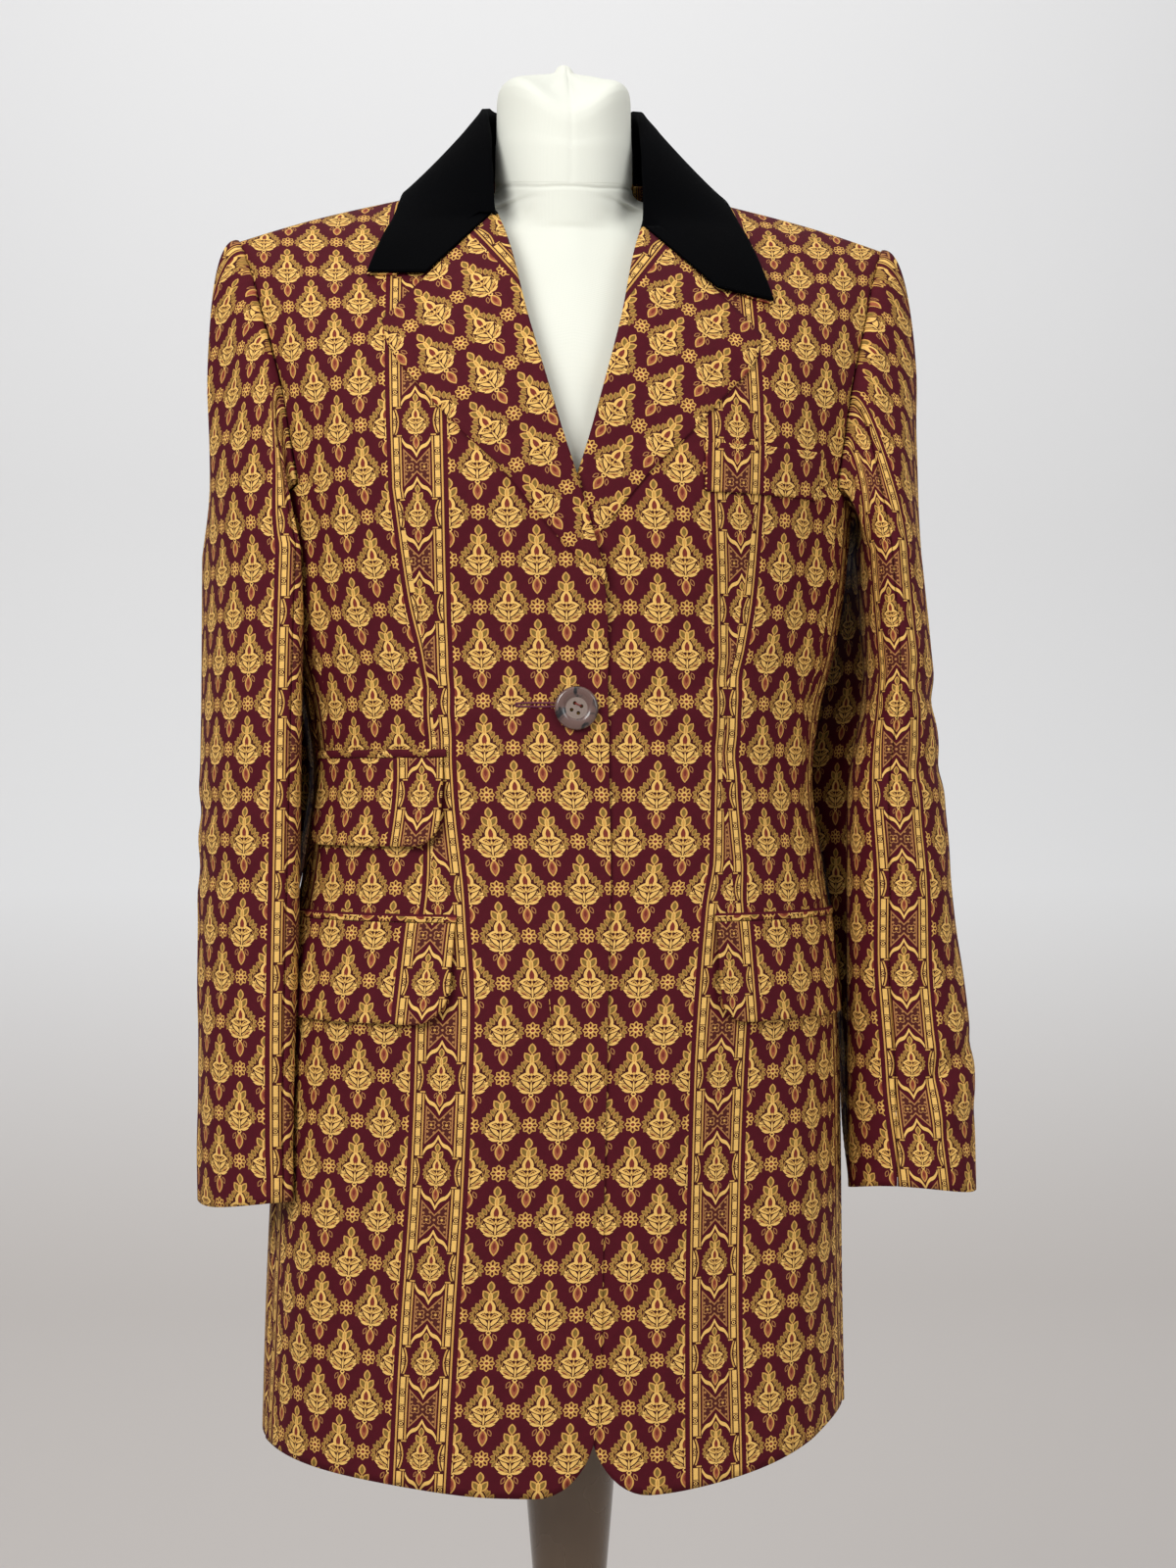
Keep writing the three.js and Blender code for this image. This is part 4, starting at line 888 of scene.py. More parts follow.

# %% [markdown]
# Real cloth is never perfectly smooth. Each crease here is one line on a piece: where it starts
# and ends, how wide and how deep it is. The lengths and depths are uneven on purpose, and those
# at the button fan out from where the front is held.

# %% Creases drawn one by one


def creased(face, normals, lines):
    """Lines of (x0, z0, x1, z1, width, depth) on the plane that faces the viewer."""
    push = np.zeros(face.shape[:2])
    px, pz = face[..., 0], face[..., 2]
    for ax, az, bx, bz, width, depth in lines:
        length2 = (bx - ax) ** 2 + (bz - az) ** 2
        t = ((px - ax) * (bx - ax) + (pz - az) * (bz - az)) / length2
        near = np.hypot(px - ax - t * (bx - ax), pz - az - t * (bz - az))
        fade = ease(t, -0.08, 0.3) * (1 - ease(t, 0.62, 1.08))
        profile = np.exp(-((near / width) ** 2)) - 0.35 * np.exp(-(((near - 1.7 * width) / width) ** 2))
        push += depth * profile * fade
    return face + normals * push[..., None]


FRONT_CREASES = {
    -1: [
        (26, 1083, 150, 1104, 7, -1.3),
        (24, 1074, 128, 1052, 8, -1.1),
        (30, 1092, 92, 1150, 8, 0.9),
        (96, 1212, 92, 962, 3.2, -0.9),
        (166, 1235, 150, 1120, 9, -1.6),
        (150, 1290, 176, 1215, 10, -1.5),
        (60, 880, 52, 690, 26, 2.2),
        (112, 870, 124, 640, 20, -2.6),
        (148, 860, 160, 650, 15, 2.0),
        (12, 940, 18, 720, 16, -1.2),
        (100, 1390, 176, 1352, 13, -1.2),
    ],
    1: [
        (22, 1081, 138, 1112, 8, -1.5),
        (22, 1072, 150, 1040, 8, -1.4),
        (26, 1096, 84, 1170, 9, 1.1),
        (97, 1212, 93, 962, 3.2, -0.9),
        (162, 1240, 140, 1095, 10, -2.0),
        (146, 1300, 172, 1222, 10, -1.8),
        (136, 1120, 156, 1010, 8, 1.4),
        (46, 885, 40, 690, 22, 2.0),
        (92, 880, 108, 640, 24, -2.8),
        (140, 870, 152, 660, 17, 2.3),
        (96, 1388, 170, 1350, 14, -1.3),
    ],
}
BACK_CREASES = [
    (20, 1090, 120, 1072, 9, -1.5),
    (14, 1062, 110, 1040, 9, -1.3),
    (60, 900, 70, 640, 26, 3.0),
    (118, 890, 130, 650, 22, -2.8),
    (30, 880, 24, 660, 22, -2.0),
    (150, 1290, 130, 1160, 12, -2.0),
]

# %% [markdown]
# A front is a patch between four edges: the front edge with the roll of the lapel, the hem with
# its round corner, the side seam with the armhole, and the shoulder. The waist dart takes cloth
# away without changing the outline, so only the print shows it: there the chart jumps.

# %% The fronts


def patch(left, right, bottom, top, share, v):
    u = share[None, :, None]
    w = v[:, None, None]
    corners = (1 - u) * ((1 - w) * bottom[0] + w * top[0]) + u * ((1 - w) * bottom[-1] + w * top[-1])
    return (1 - w) * bottom[None] + w * top[None] + (1 - u) * left[:, None] + u * right[:, None] - corners


# the side seam ends at row mark 17, the armhole starts at 18, the shoulder is 26
SIDE_END, ARM_START, TOP = 17, 18, 26
ROW_MARKS = np.concatenate(
    [
        np.linspace(0, SIDE_END, 116),
        np.linspace(SIDE_END, ARM_START, 4)[1:],
        np.linspace(ARM_START, TOP, 44)[1:],
    ]
)
ROWS_BELOW_ARM = int(np.sum(ROW_MARKS < ARM_START))
EDGE_HEIGHTS = [HEM["edge"] + 550 * i / 17 for i in range(18)]
EDGE_HEIGHTS += [1230, 1258, 1288, 1318, 1345, 1368, 1385, 1407, 1428]


def gorge_shift(z, side):
    return -side * HIGHER["gorge"] * ease(z, 1300, 1388) * (1 - ease(z, 1392, 1426))


def front_lift(x, z, side):
    near = 1 - ease(x, 25, 70)
    if side > 0:
        return -LAYER * near * (1 - ease(z, 1215, 1290))
    return LAYER * near * ease(z, 1100, 1150) * (1 - ease(z, 1222, 1300))


def out_to_side(points, side):
    return points * [side, 1, 1] + np.stack([BODY["lean"](points[..., 2])] + [0 * points[..., 2]] * 2, -1)


def hem_side(side):
    return HEM["side"] + (HEM["side_rise"] if side > 0 else 0)


def front_edge(z, side):
    return EDGE["x"](z) + (SWING["by"] * (1 - ease(z, HEM["edge"], SWING["from"])) if side > 0 else 0)


def seam_edge(angle, armhole, back, side):
    low = np.minimum(ROW_MARKS, SIDE_END)
    heights = hem_side(side) + (SIDE_TOP - hem_side(side)) * low / SIDE_END
    t = np.maximum(ROW_MARKS - ARM_START, 0)
    arm_z = armhole["z"](t)
    arm = np.stack([angle_of(armhole["x"](t), arm_z, back), arm_z], -1)
    side = np.stack([angle + 0 * heights, heights], -1)
    step = np.clip(ROW_MARKS - SIDE_END, 0, 1)[:, None]
    return np.where(ROW_MARKS[:, None] >= ARM_START, arm, mixed(side, arm[:1], step))


def shoulder_normal(x):
    slope = SHOULDER["z"](x + 1) - SHOULDER["z"](x - 1)
    return unit(np.stack([-slope / 2, 0 * x, 1 + 0 * x], -1))


def body_face(grid, back, seam_columns):
    """Points and normals of a patch, with its top row set on the shoulder seam."""
    points = at_angle(grid[..., 0], grid[..., 1])
    keep = RIDGE_Y + (SEAM / 2 if back else -SEAM / 2)
    top = points[-1, seam_columns]
    top[:, 1] = keep
    top[:, 2] = SHOULDER["z"](np.abs(top[:, 0]))
    points[-1, seam_columns] = top
    points[..., 1] = np.maximum(points[..., 1], keep) if back else np.minimum(points[..., 1], keep)
    normals = normal_at(points)
    normals[-1, seam_columns] = shoulder_normal(points[-1, seam_columns, 0])
    return points, normals


DART_SHARE = 0.52
DART_INTAKE = measures(
    "z mm", (930, 0), (955, 7), (1000, 14), (1060, 19), (1090, 19), (1150, 9), (1215, 0)
)
STRIPE_EDGE = {
    -1: measures(
        "z mm",
        (610, 74.6), (700, 70), (800, 65.3), (890, 64), (960, 69),
        (1035, 77), (1075, 78.5), (1140, 80.5), (1215, 82), (1300, 84),
    ),
    1: measures(
        "z mm",
        (610, 77.5), (700, 76.5), (850, 77), (960, 83),
        (990, 88), (1110, 91), (1230, 86), (1300, 85),
    ),
}
PRINT_LEVEL = 1142.7
NAPE_TOP = 1445
SIDE_STRIPE = 76
SIDE_CLOTH = 0.87


def side_chart(angle, z):
    return girth(angle, z) - girth(0 * angle + SIDE_STRIPE, z)


def front_face(side):
    heights = np.interp(ROW_MARKS, np.arange(27), EDGE_HEIGHTS)
    raised = heights + gorge_shift(heights, side)
    left = np.stack([angle_of(front_edge(heights, side), raised, False), raised], -1)
    right = seam_edge(FRONT_SEAM - 0.05, ARMHOLE_FRONT, False, side)
    girth_mm = HEM["girth"]
    dart = DART_SHARE * girth_mm
    steps = np.concatenate(
        [
            [0, 0.7, 1.6, 3, 5, 7.5, 10.5, 14, 18, 22, 27, 32, 37],
            np.arange(41, dart - 2.5, 4),
            [dart - 1.6, dart, dart + 1.6],
            np.arange(dart + 5, girth_mm - 6, 4),
            girth_mm - np.array([4, 2.4, 1.2, 0]),
        ]
    )
    share = steps / girth_mm
    c = np.maximum(0, 1 - steps / HEM["width"])
    z = HEM["low"] + HEM["height"] * (1 - np.sqrt(1 - c * c))
    z = z + (hem_side(side) - HEM["low"]) * ease(steps, HEM["width"], girth_mm)
    near = angle_of(np.minimum(front_edge(HEM["edge"], side) + steps, 150), z, False)
    far = mixed(left[0, 0], right[0, 0], share)
    bottom = np.stack([mixed(near, far, ease(steps, 40, girth_mm)), z], -1)
    x = mixed(NECK_POINT["x"], SHOULDER_END, share)
    line = SHOULDER["z"](x)
    top = np.stack([angle_of(x, line, False), line], -1)
    grid = patch(left, right, bottom, top, share, ROW_MARKS / TOP)
    points, normals = body_face(grid, False, np.arange(len(share)))
    lift = front_lift(points[..., 0], points[..., 2], side)
    face = points + normals * lift[..., None]
    level = points[..., 2]
    across = girth(grid[..., 0], level) - STRIPE_EDGE[side]["mm"](level) - BAND_HALF
    dart_column = list(np.isclose(steps, dart)).index(True)
    side_column = int(np.argmax(share > SIDE_CLOTH))
    to_side = side_chart(grid[..., 0], level) - across
    return face, normals, across, dart_column, side_column, to_side


fronts = {}
for side, hand in ((-1, "right"), (1, "left")):
    face, normals, across, dart_column, side_column, to_side = front_face(side)
    start = face[0, :, 2] - PRINT_LEVEL
    up_cloth = height_on_cloth(face, normals, start)
    intake = DART_INTAKE["mm"](face[..., 2])
    fronts[side] = out_to_side(face, side)
    shaped = creased(face, normals, FRONT_CREASES[side])
    at_x, at_z = face[..., 0], face[..., 2]
    wave = 1.6 * np.sin(at_x / 19 + side) * (1 - ease(at_z, 606, 690)) * ease(at_x, 20, 60)
    shaped = shaped + normals * wave[..., None]
    shaped = tucked(shaped, normals, ("right", "top"))
    shaped = out_to_side(shaped, side)
    jumps = [(dart_column, len(face), intake), (side_column, ROWS_BELOW_ARM, to_side - intake)]
    cloth_piece(f"front_{hand}_printed", shaped, f"front_{hand}", (across, up_cloth), jumps=jumps)

# %% The side panels and the back
sides, backs = {}, {}
for side, hand in ((-1, "right"), (1, "left")):
    span = BACK_SEAM - FRONT_SEAM
    share = np.concatenate([[0, 0.012, 0.03], np.linspace(0.06, 0.94, 20), [0.97, 0.988, 1]])
    angles = np.clip(FRONT_SEAM + span * share, FRONT_SEAM + 0.05, BACK_SEAM - 0.05)
    below = ROW_MARKS[ROW_MARKS <= SIDE_END]
    heights = hem_side(side) + (SIDE_TOP - hem_side(side)) * below / SIDE_END
    left = np.stack([angles[0] + 0 * heights, heights], -1)
    right = np.stack([angles[-1] + 0 * heights, heights], -1)
    bottom = np.stack([angles, hem_side(side) + 0 * angles], -1)
    top = np.stack([angles, UNDERARM["z"](angles)], -1)
    grid = patch(left, right, bottom, top, share, below / SIDE_END)
    face = at_angle(grid[..., 0], grid[..., 1])
    normals = normal_at(face)
    up_cloth = height_on_cloth(face, normals, face[0, :, 2] - PRINT_LEVEL)
    across = side_chart(grid[..., 0], face[..., 2])
    sides[side] = out_to_side(face, side)
    shaped = out_to_side(tucked(face, normals, ("left", "right", "top")), side)
    cloth_piece(f"side_{hand}_printed", shaped, f"side_{hand}", (across, up_cloth))

    share = np.concatenate([[0, 0.006, 0.015, 0.03], np.arange(0.055, 0.97, 0.0245), [0.978, 0.99, 1]])
    right = seam_edge(BACK_SEAM + 0.05, ARMHOLE_BACK, True, side)
    past_arm = (ROW_MARKS - SIDE_END) / (TOP - SIDE_END)
    rise = np.where(ROW_MARKS <= SIDE_END, 0.72 * ROW_MARKS / SIDE_END, 0.72 + 0.28 * past_arm)
    left = np.stack([180 + 0 * rise, HEM["back"] + (NAPE_TOP - HEM["back"]) * rise], -1)
    low = mixed(HEM["back"], hem_side(side), ease(share, 0, 1))
    bottom = np.stack([180 + (BACK_SEAM + 0.05 - 180) * share, low], -1)
    neck_share = 0.36
    neck_x = NECK_POINT["x"]
    along = mixed(neck_x, SHOULDER_END, (share - neck_share) / (1 - neck_share))
    x = np.where(share <= neck_share, neck_x * share / neck_share, along)
    scoop = np.sqrt(np.maximum(0, 1 - (x / neck_x) ** 2))
    neck_z = NECK_POINT["z"] + (NAPE_TOP - NECK_POINT["z"]) * scoop
    z = np.where(share < neck_share, neck_z, SHOULDER["z"](x))
    top = np.stack([angle_of(x, z, True), z], -1)
    grid = patch(left, right, bottom, top, share, ROW_MARKS / TOP)
    face, normals = body_face(grid, True, np.arange(len(share))[share >= neck_share])
    face[:, 0, 0] = SEAM / 2
    up_cloth = height_on_cloth(face, normals, face[0, :, 2] - PRINT_LEVEL)
    level = face[..., 2]
    middle = girth(0 * level + 180, level)
    across = middle - girth(grid[..., 0], level) - STRIPES_APART / 2
    backs[side] = out_to_side(face, side)
    shaped = creased(face, normals, BACK_CREASES)
    shaped = out_to_side(tucked(shaped, normals, ("left", "right", "top")), side)
    cloth_piece(f"back_{hand}_printed", shaped, f"back_{hand}", (across, up_cloth))

# %% [markdown]
# The lapel is the front edge turned over. Seen in section it is a small round fold, then a flat
# wing that comes down to the front at its outer edge. Its cloth is cut on another grain, so the
# palmettes lean outwards by about a third of a right angle.

# %% The lapels
LAPEL_EDGE = measures(
    "t x z",
    (0, -15.2, 1160),
    (0.14, 6, 1179),
    (0.3, 27, 1203),
    (0.45, 46, 1226),
    (0.62, 70, 1249),
    (0.8, 95, 1277),
    (0.93, 113, 1300),
    (1, 118, 1318),
)
LAPEL_GRAIN = {
    -1: {"lean": 34, "x": 49.8, "z": 1368, "level": -17 - REPEAT / 2},
    1: {"lean": 34, "x": 46, "z": 1356, "level": -10 - REPEAT / 2},
}


def roll_point(t, side):
    z = mixed(1158, 1390, t)
    return EDGE["x"](z), z + gorge_shift(z, side)


def lapel_edge(t, side):
    rise = -side * HIGHER["lapel"] * ease(t, 0.7, 1)
    return LAPEL_EDGE["x"](t), LAPEL_EDGE["z"](t) + rise


LAPEL_CREASES = {
    -1: [(60, 1330, 84, 1290, 12, 1.3), (30, 1250, 62, 1232, 9, -0.8), (92, 1322, 110, 1300, 8, 1.0)],
    1: [(56, 1326, 88, 1286, 13, 1.4), (34, 1254, 58, 1238, 8, -0.9), (94, 1312, 110, 1296, 7, 0.9)],
}
for side, hand in ((-1, "right"), (1, "left")):
    t = np.linspace(0, 1, 76)
    x0, z0 = roll_point(t, side)
    x1, z1 = lapel_edge(t, side)
    p = on_surface(x0, z0)
    n = normal_at(p)
    toward = on_surface(mixed(x0, x1, 0.3), mixed(z0, z1, 0.3)) - p
    across = unit(toward - np.sum(toward * n, -1, keepdims=True) * n)
    hard = 0.45 if side < 0 else 0.15
    soft = (hard + (1.2 - hard) * ease(z0, 1180 if side < 0 else 1215, 1290))[:, None]
    base = front_lift(x0, z0, side)[:, None]
    centre = p + n * (base + soft) - SEAM * across
    columns = []
    for turn in np.radians(np.linspace(-90, 90, 9)):
        r = soft + CLOTH
        columns.append(centre + n * r * math.sin(turn) - across * r * math.cos(turn))
    wing = np.concatenate([np.linspace(0, 1, 27)[1:-1], [0.972, 0.988, 1]])
    for share in wing:
        x, z = mixed(x0, x1, share), mixed(z0, z1, share)
        q = on_surface(x, z)
        m = normal_at(q)
        under = front_lift(x, z, side)[:, None] + mixed(2 * soft, SEAM, share)
        columns.append(q + m * (under + CLOTH))
    face = np.stack(columns, axis=1)
    normals = normal_at(face)
    face = creased(face, normals, LAPEL_CREASES[side])
    edge = edge_distance(face, "right")
    face = face - normals * (0.5 * np.exp(-((edge / 1.2) ** 2)))[..., None]
    grain = LAPEL_GRAIN[side]
    lean = math.radians(grain["lean"])
    dx = face[..., 0] - grain["x"]
    dz = (face[..., 2] - grain["z"]) * 1.06
    across_grain = dx * math.cos(lean) - dz * math.sin(lean) + COLUMN
    up_grain = dx * math.sin(lean) + dz * math.cos(lean) - grain["level"]
    grain = (across_grain, up_grain)
    face = out_to_side(face, side)
    cloth_piece(f"lapel_{hand}_printed", face, f"lapel_{hand}", grain)

# %% [markdown]
# The collar stands up round the neck, rolls over and falls back to the jacket. Each row of its
# grid is one path: up the stand, round the fold, down the fall. The under collar is the fall
# again, below the velvet and a little longer, so that a line of print shows at the edge.

# %% The collar
COLLAR = measures(
    "s ax ay az bx by bz cx cy cz",
    (3, 47, -61, 1390, 47, -61, 1390, 113, -41, 1391),
    (4, 54, -47, 1403, 47.5, -49, 1422, 108.5, -24, 1407),
    (5, 64, -24, 1416, 48, -27, 1455, 105.5, -9, 1416.5),
    (6, 74, 4, 1428, 48.5, 2, 1478, 102, 6, 1421),
    (7, 70, 25, 1433, 46, 26, 1487, 96, 32, 1418),
    (8, 55, 43, 1440, 36, 47, 1488, 78, 55, 1424),
    (9, 30, 54, 1444, 19, 59, 1487, 44, 70, 1432),
    (10, 0, 58, 1445, 0, 63, 1487, 0, 76, 1436),
)
COLLAR_FRONT = measures("s x z", (0, 126, 1345.5), (1, 122.5, 1358), (2, 118.5, 1373), (3, 113, 1391))
NOTCH_SHARE = 0.6
COLLAR_LIFT = CLOTH + UNDER + 6 * SEAM
FOLD = {"first": 2.1, "full": 3.4}
CHEST_SLOPE = 0.52
FOOT_RISE = 1.5


def clear_of(p, need):
    value = outside(p)
    n = normal_at(p)
    slope = (outside(p + 0.4 * n) - value) / 0.4
    distance = value / np.maximum(1e-6, slope)
    return p + n * np.maximum(0, need - distance)[..., None]


def collar_path(s, side):
    gorge_x, gorge_z = roll_point(1.0, side)
    tip_x, tip_z = lapel_edge(1.0, side)
    steps = np.linspace(0, 1, 21)[1:, None]
    if s <= 3:
        share = NOTCH_SHARE * (1 - s / 3)
        notch = on_surface(mixed(gorge_x, tip_x, share) + 0.6, mixed(gorge_z, tip_z, share) + 0.7)
        start = clear_of(notch, COLLAR_LIFT)
        rise = -side * HIGHER["collar"] * (1 - s / 3)
        end = clear_of(on_surface(COLLAR_FRONT["x"](s), COLLAR_FRONT["z"](s) + rise), COLLAR_LIFT)
        first = start[None]
        turned = 0
    else:
        foot = np.array([COLLAR[k](s) for k in ("ax", "ay", "az")])
        roll = np.array([COLLAR[k](s) for k in ("bx", "by", "bz")])
        shift = -side * HIGHER["gorge"] * (1 - ease(s, 3, 4))
        move = np.array([0, CHEST_SLOPE * min(0, shift), shift])
        foot, roll = foot + move, roll + move
        inward = unit(np.array([-foot[0], 10 - foot[1], 0]))
        foot = foot + inward * (CLOTH + 6 * SEAM + 1.4 * (1 - ease(s, 3.2, 3.8))) + [0, 0, FOOT_RISE]
        end = clear_of(np.array([COLLAR[k](s) for k in ("cx", "cy", "cz")]), COLLAR_LIFT)
        radius = mixed(FOLD["first"], FOLD["full"], ease(s, 3, 5))
        out = unit((end - roll) * [1, 1, 0])
        centre = roll + out * radius - [0, 0, radius]
        turns = np.radians(np.linspace(180, 45, 10))[:, None]
        bend = centre + out * radius * np.cos(turns) + np.array([0, 0, 1]) * radius * np.sin(turns)
        first = np.concatenate([foot[None], bend])
        start = bend[-1]
    fall = clear_of(start + (end - start) * steps, COLLAR_LIFT)
    path = np.concatenate([first, fall])
    lengths = walked(path)
    inside = max(9.0, lengths[len(first) - 1])
    marks = np.concatenate([np.linspace(0, inside, 13), np.linspace(inside, lengths[-1], 25)[1:]])
    row = np.stack([np.interp(marks, lengths, path[:, k]) for k in range(3)], -1)
    return row * [side, 1, 1]


spans = [np.linspace(0, 3, 25), np.linspace(3, 3.4, 7), np.linspace(3.4, 10, 76)]
stations = np.unique(np.concatenate(spans))
right_half = [collar_path(s, -1) for s in stations]
left_half = [collar_path(s, 1) for s in stations[-2::-1]]
collar_face = np.stack(right_half + left_half)


def relaxed(face, times):
    for _ in range(times):
        face = face.copy()
        face[1:-1] = face[1:-1] * 0.5 + (face[:-2] + face[2:]) * 0.25
    return face


collar_face[:, 13:] = relaxed(collar_face[:, 13:], 12)
collar_normals = grid_normals(collar_face)
middle = len(collar_face) // 2
FLIPPED["velvet_collar"] = collar_normals[middle, -3, 1] < 0
facing = -1 if FLIPPED["velvet_collar"] else 1
count = len(collar_face)
place = np.arange(count)[:, None] / count
drop = np.linspace(0, 1, 37)[None, :]
swell = 0.5 * np.sin(place * 34) * drop**2 + 0.5 * np.sin(place * 13 + 1.2) * drop
velvet_face = collar_face + facing * collar_normals * (swell * ease(drop, 0.45, 1))[..., None]
grain = (velvet_face[..., 0], velvet_face[..., 2])
cloth_piece("velvet_collar", velvet_face, "collar", grain)
under_face = collar_face[:, 21:].copy()
beyond = unit(under_face[:, -1] - under_face[:, -2]) * 1.5
under_face[:, -1] += beyond
under_normals = grid_normals(under_face)
FLIPPED["under_collar_print"] = FLIPPED["velvet_collar"]
under_face = under_face - facing * under_normals * (CLOTH + 3 * SEAM)
along_collar = walked(under_face[:, -1])
grain = (along_collar[:, None] + 0 * under_face[..., 0], edge_distance(under_face, "left"))
cloth_piece(
    "under_collar_print",
    under_face,
    "under_collar",
    grain,
    thickness=UNDER,
)

# %% [markdown]
# A sleeve is a bent tube that is set into the armhole. Its top is wider than the hole, and the
# spare cloth is eased in, so the crown bulges a little before it falls. Two seams part it into an
# upper and an under sleeve. It hangs beside the body with its own soft bends at the elbow.

# %% The sleeves
SLEEVES = {
    -1: measures(
        "z x y thin deep turn curl",
        (1185, 205, -8, 25, 72, 20, 9),
        (1100, 205.5, -14, 25.5, 66, 20, 9),
        (1000, 206, -20, 27, 61, 20, 9),
        (900, 206.5, -26, 28, 56, 20, 9),
        (830, 206, -32, 29, 53, 20, 9),
        (769, 204.5, -37.5, 29.5, 50.5, 20, 9),
    ),
    1: measures(
        "z x y thin deep turn curl",
        (1185, 214.5, -5, 22, 74, 6, 3),
        (1100, 220.5, -10, 23, 68, 7, 3),
        (1035, 218, -16, 31, 60, 12, 3),
        (971, 220, -22, 35, 54, 15, 3),
        (907, 222.5, -28, 38, 49, 20, 3),
        (843, 224.5, -33, 41, 45, 20, 3),
        (773, 224.5, -38, 41.5, 42, 20, 3),
    ),
}
SLACK = {
    -1: measures(
        "z by", (1185, 10), (1120, 44), (1040, 66), (970, 70), (900, 58), (830, 18), (760, 0)
    ),
    1: measures(
        "z by",
        (1185, 14), (1150, 38), (1120, 48), (1040, 66),
        (960, 62), (880, 56), (830, 44), (770, 16),
    ),
}
CUFF = {-1: 769, 1: 773}
SLEEVE_CLEAR = 4.5
CAP_ROWS = 34
CAP_END = 1185.0
AROUND = 120
CUFF_LIFT = 7
TURNING = {"in": 5.0, "under": 4.0}
TUBE_ROWS = 96
SLEEVE_STRIPE = {
    -1: measures("z turn", (760, 108), (1000, 106), (1200, 104), (1400, 96)),
    1: measures("z turn", (773, 66), (850, 75), (971, 76), (1040, 82), (1100, 96), (1160, 102), (1300, 98)),
}
SLEEVE_CREASES = {
    -1: [
        (252, 1010, 178, 1040, 9, -1.6),
        (250, 985, 190, 968, 11, -1.3),
        (240, 1290, 232, 1190, 12, -1.6),
        (222, 1340, 214, 1230, 8, -1.4),
        (190, 900, 196, 780, 9, 1.4),
        (244, 900, 240, 800, 12, -1.3),
    ],
    1: [
        (258, 1080, 196, 1112, 9, -1.9),
        (262, 1048, 200, 1040, 10, -1.7),
        (268, 872, 214, 838, 8, -3.0),
        (266, 846, 222, 812, 9, 1.8),
        (236, 1300, 226, 1180, 12, -2.0),
        (214, 1345, 206, 1240, 8, -1.5),
        (262, 1000, 250, 900, 14, -2.0),
    ],
}


def tube_ring(side, z, turns):
    get = {k: f(z) for k, f in SLEEVES[side].items()}
    c, s = np.cos(turns), np.sin(turns)
    turn = np.radians(get["turn"])
    x = get["x"] + get["thin"] * c * np.cos(turn) - get["deep"] * s * np.sin(turn)
    x = x - get["curl"] * np.maximum(0, s) ** 3
    x = x - SLACK[side]["by"](z) * np.maximum(0, -s) ** 1.2 * ease(-c, -0.2, 0.6)
    y = get["y"] - get["deep"] * s * np.cos(turn) - get["thin"] * c * np.sin(turn)
    half, power, depth, _, _, _ = ring(100 + 0 * y, z + 0 * y, y > RIDGE_Y)
    body = half * np.maximum(0, 1 - (np.abs(y - RIDGE_Y) / depth) ** power) ** (1 / power)
    body = body + side * BODY["lean"](z) + SLEEVE_CLEAR
    lift = CUFF_LIFT * np.maximum(0, s) ** 2 * (1 - ease(z, CUFF[side], CUFF[side] + 110))
    return np.stack([np.maximum(x, body), y, z + lift], -1)


